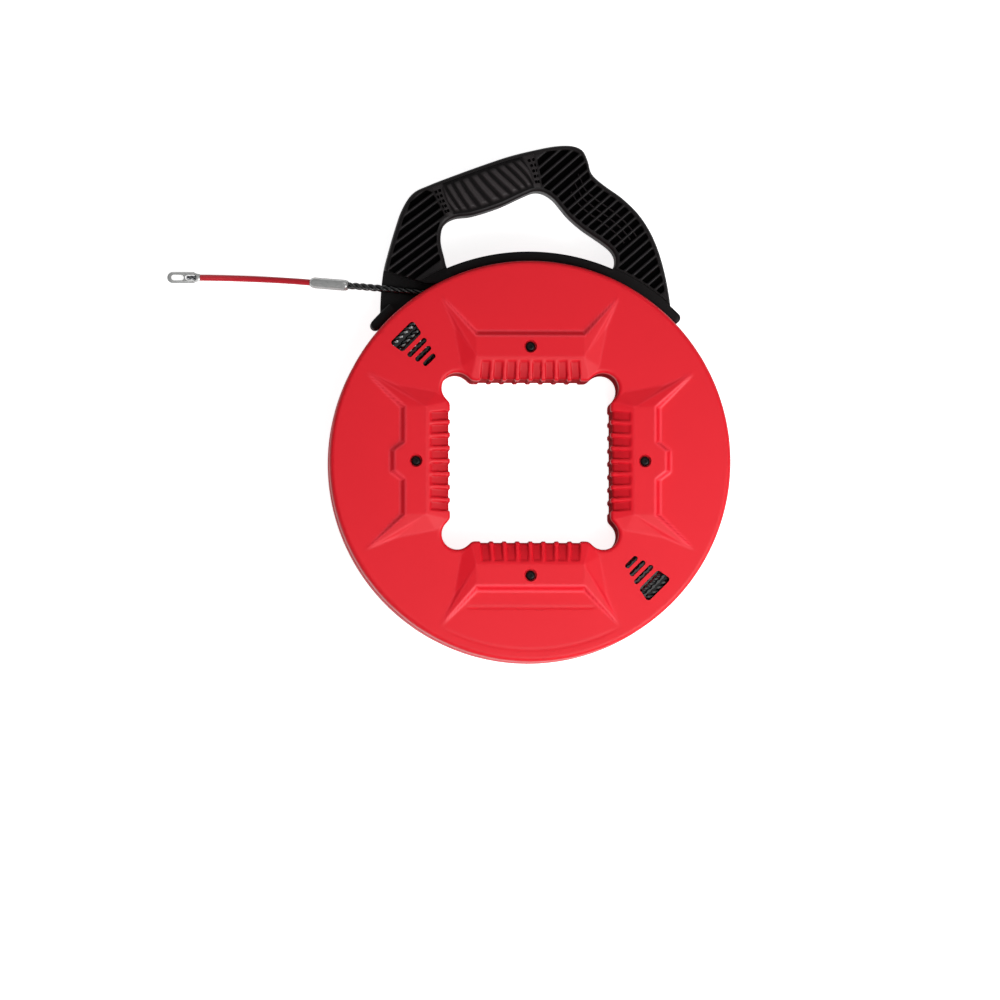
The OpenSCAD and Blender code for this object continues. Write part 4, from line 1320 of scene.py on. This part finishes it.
buildHandle("handleFront", True, "handle_front")
buildHandle("handleBack", False, "handle_back")
print("reel: handle is made")


gripSize = {"columns": 190, "rows": 34, "ladder": 9,
            "pitch": 6.5, "lean": 0.3, "rise": 2.1, "ribWidth": 0.31,
            # valleyShade and endShade: strength of the painted shade in the rib valleys, in the middle
            # and at the ends
            "crown": 0.9, "sunk": 0.35, "barAcross": 28, "valleyShade": 0.95, "endShade": 0.45,
            "pits": 5, "pitColumns": (2.4, 6.2), "pit": (2.3, 2.6), "pitDepth": 2.2}


def gripPoint(u, v, inset):  # u runs along the bar and v from its inner to its outer edge
    h = handleSize
    left, right = (inner + (outer - inner) * v for inner, outer in (h["gripLeft"], h["gripRight"]))
    station = left + (right - left) * u
    return barPoint(station, inset + v * (barWidth(station) - 2 * inset))


def buildGrip(name, front, node):
    s, h = gripSize, handleSize
    inset = h["gripInset"] + 0.15
    seat, top = h["half"] - h["gripSeat"] + 0.05, h["half"]
    long = routeLength([gripPoint(u, 0.5, h["gripInset"]) for u in np.linspace(0, 1, 30)])
    rings, along, across, show, shade = [], [], [], [], []
    for u in np.linspace(0.003, 0.997, s["columns"]):
        reach = min(u, 1 - u) * long
        ends = smoothStep((reach - s["ladder"]) / 1.5)
        ring = []
        for v in (0, *np.linspace(0, 1, s["rows"]), 1):
            base = len(ring) in (0, s["rows"] + 1)
            edge = min(v, 1 - v)
            crown = s["crown"] * math.sin(math.pi * v) ** 0.5 * smoothStep(reach / 5)
            height = seat if base else top - s["sunk"] + crown
            ring.append((*gripPoint(u, v, inset), partingZ + height))
            along.append((u - 0.5) * long * mm)
            across.append((v - 0.5) * s["barAcross"] * mm)
            show.append(0 if base else float(ends * smoothStep((edge - 0.05) / 0.1)))
            shade.append(s["endShade"] + (s["valleyShade"] - s["endShade"]) * float(ends))
        rings.append(ring)
    piece = skinRings(name, rings)
    for label, values in (("along", along), ("across", across), ("show", show), ("shade", shade)):
        setFloats(piece, label, values)
    piece = runTree(piece, ribTree, {
        "Pitch": s["pitch"] * mm, "Lean": s["lean"], "Rise": s["rise"] * mm, "Width": s["ribWidth"],
        "Material": softGrip})
    piece = addPits(piece, long)
    if not front:
        flipOver(piece)
    finishPiece(piece, softGrip, "handle", [node], 60)


def addPits(piece, long):  # two ladders of square pits across the bar, one at each end; their floors get full painted shade
    s, h = gripSize, handleSize
    sites = []
    columns = [c / long for c in s["pitColumns"]]
    for u in columns + [1 - c for c in columns]:
        for v in np.linspace(0.17, 0.83, s["pits"]):
            x, y = gripPoint(u, v, h["gripInset"])
            ahead = gripPoint(u, v + 0.02, h["gripInset"]) - np.array([x, y])
            sites.append((x, y, 0, math.atan2(ahead[1], ahead[0]), s["pit"][1] / 2 - 0.5))
    level = partingZ + h["half"]
    shape = slotShape("pitShape", s["pit"][0], level - s["pitDepth"], level + 0.3, corner=0.5, sides=16)
    cut(piece, placeAll("gripPits", shape, sites, softGrip))
    valleys = piece.data.attributes["cavity"]
    shades = [1 if v.co.z / mm < level - s["pitDepth"] + 0.05 else valley.value
              for v, valley in zip(piece.data.vertices, valleys.data)]
    piece.data.attributes.remove(valleys)
    setFloats(piece, "cavity", shades)
    return piece


buildGrip("gripFront", True, "grip_front")
buildGrip("gripBack", False, "grip_back")


def buildHandleScrews():
    h = handleSize
    head, height, length = h["screwHead"]
    seat = partingZ - (h["half"] - height - 0.5)
    places = [(x, y, seat) for x, y in screwPlaces()]
    placeScrews("handleScrew", places, 0.4, head, height, length, "handle", "handle_screws", flip=True)


buildHandleScrews()
print("reel: grips and screws are made")


plainNodes = {
    "slide_rail": slideNylon, "end_shoe": slideNylon, "saddle_screws": blackScrew,
    "tape_inner_end": tapeStrand, "tape_clip": platedScrew, "clip_screws": platedScrew,
}
for node, material in plainNodes.items():
    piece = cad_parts[node]
    piece.data.materials.clear()
    piece.data.materials.append(material)

print("reel: done")
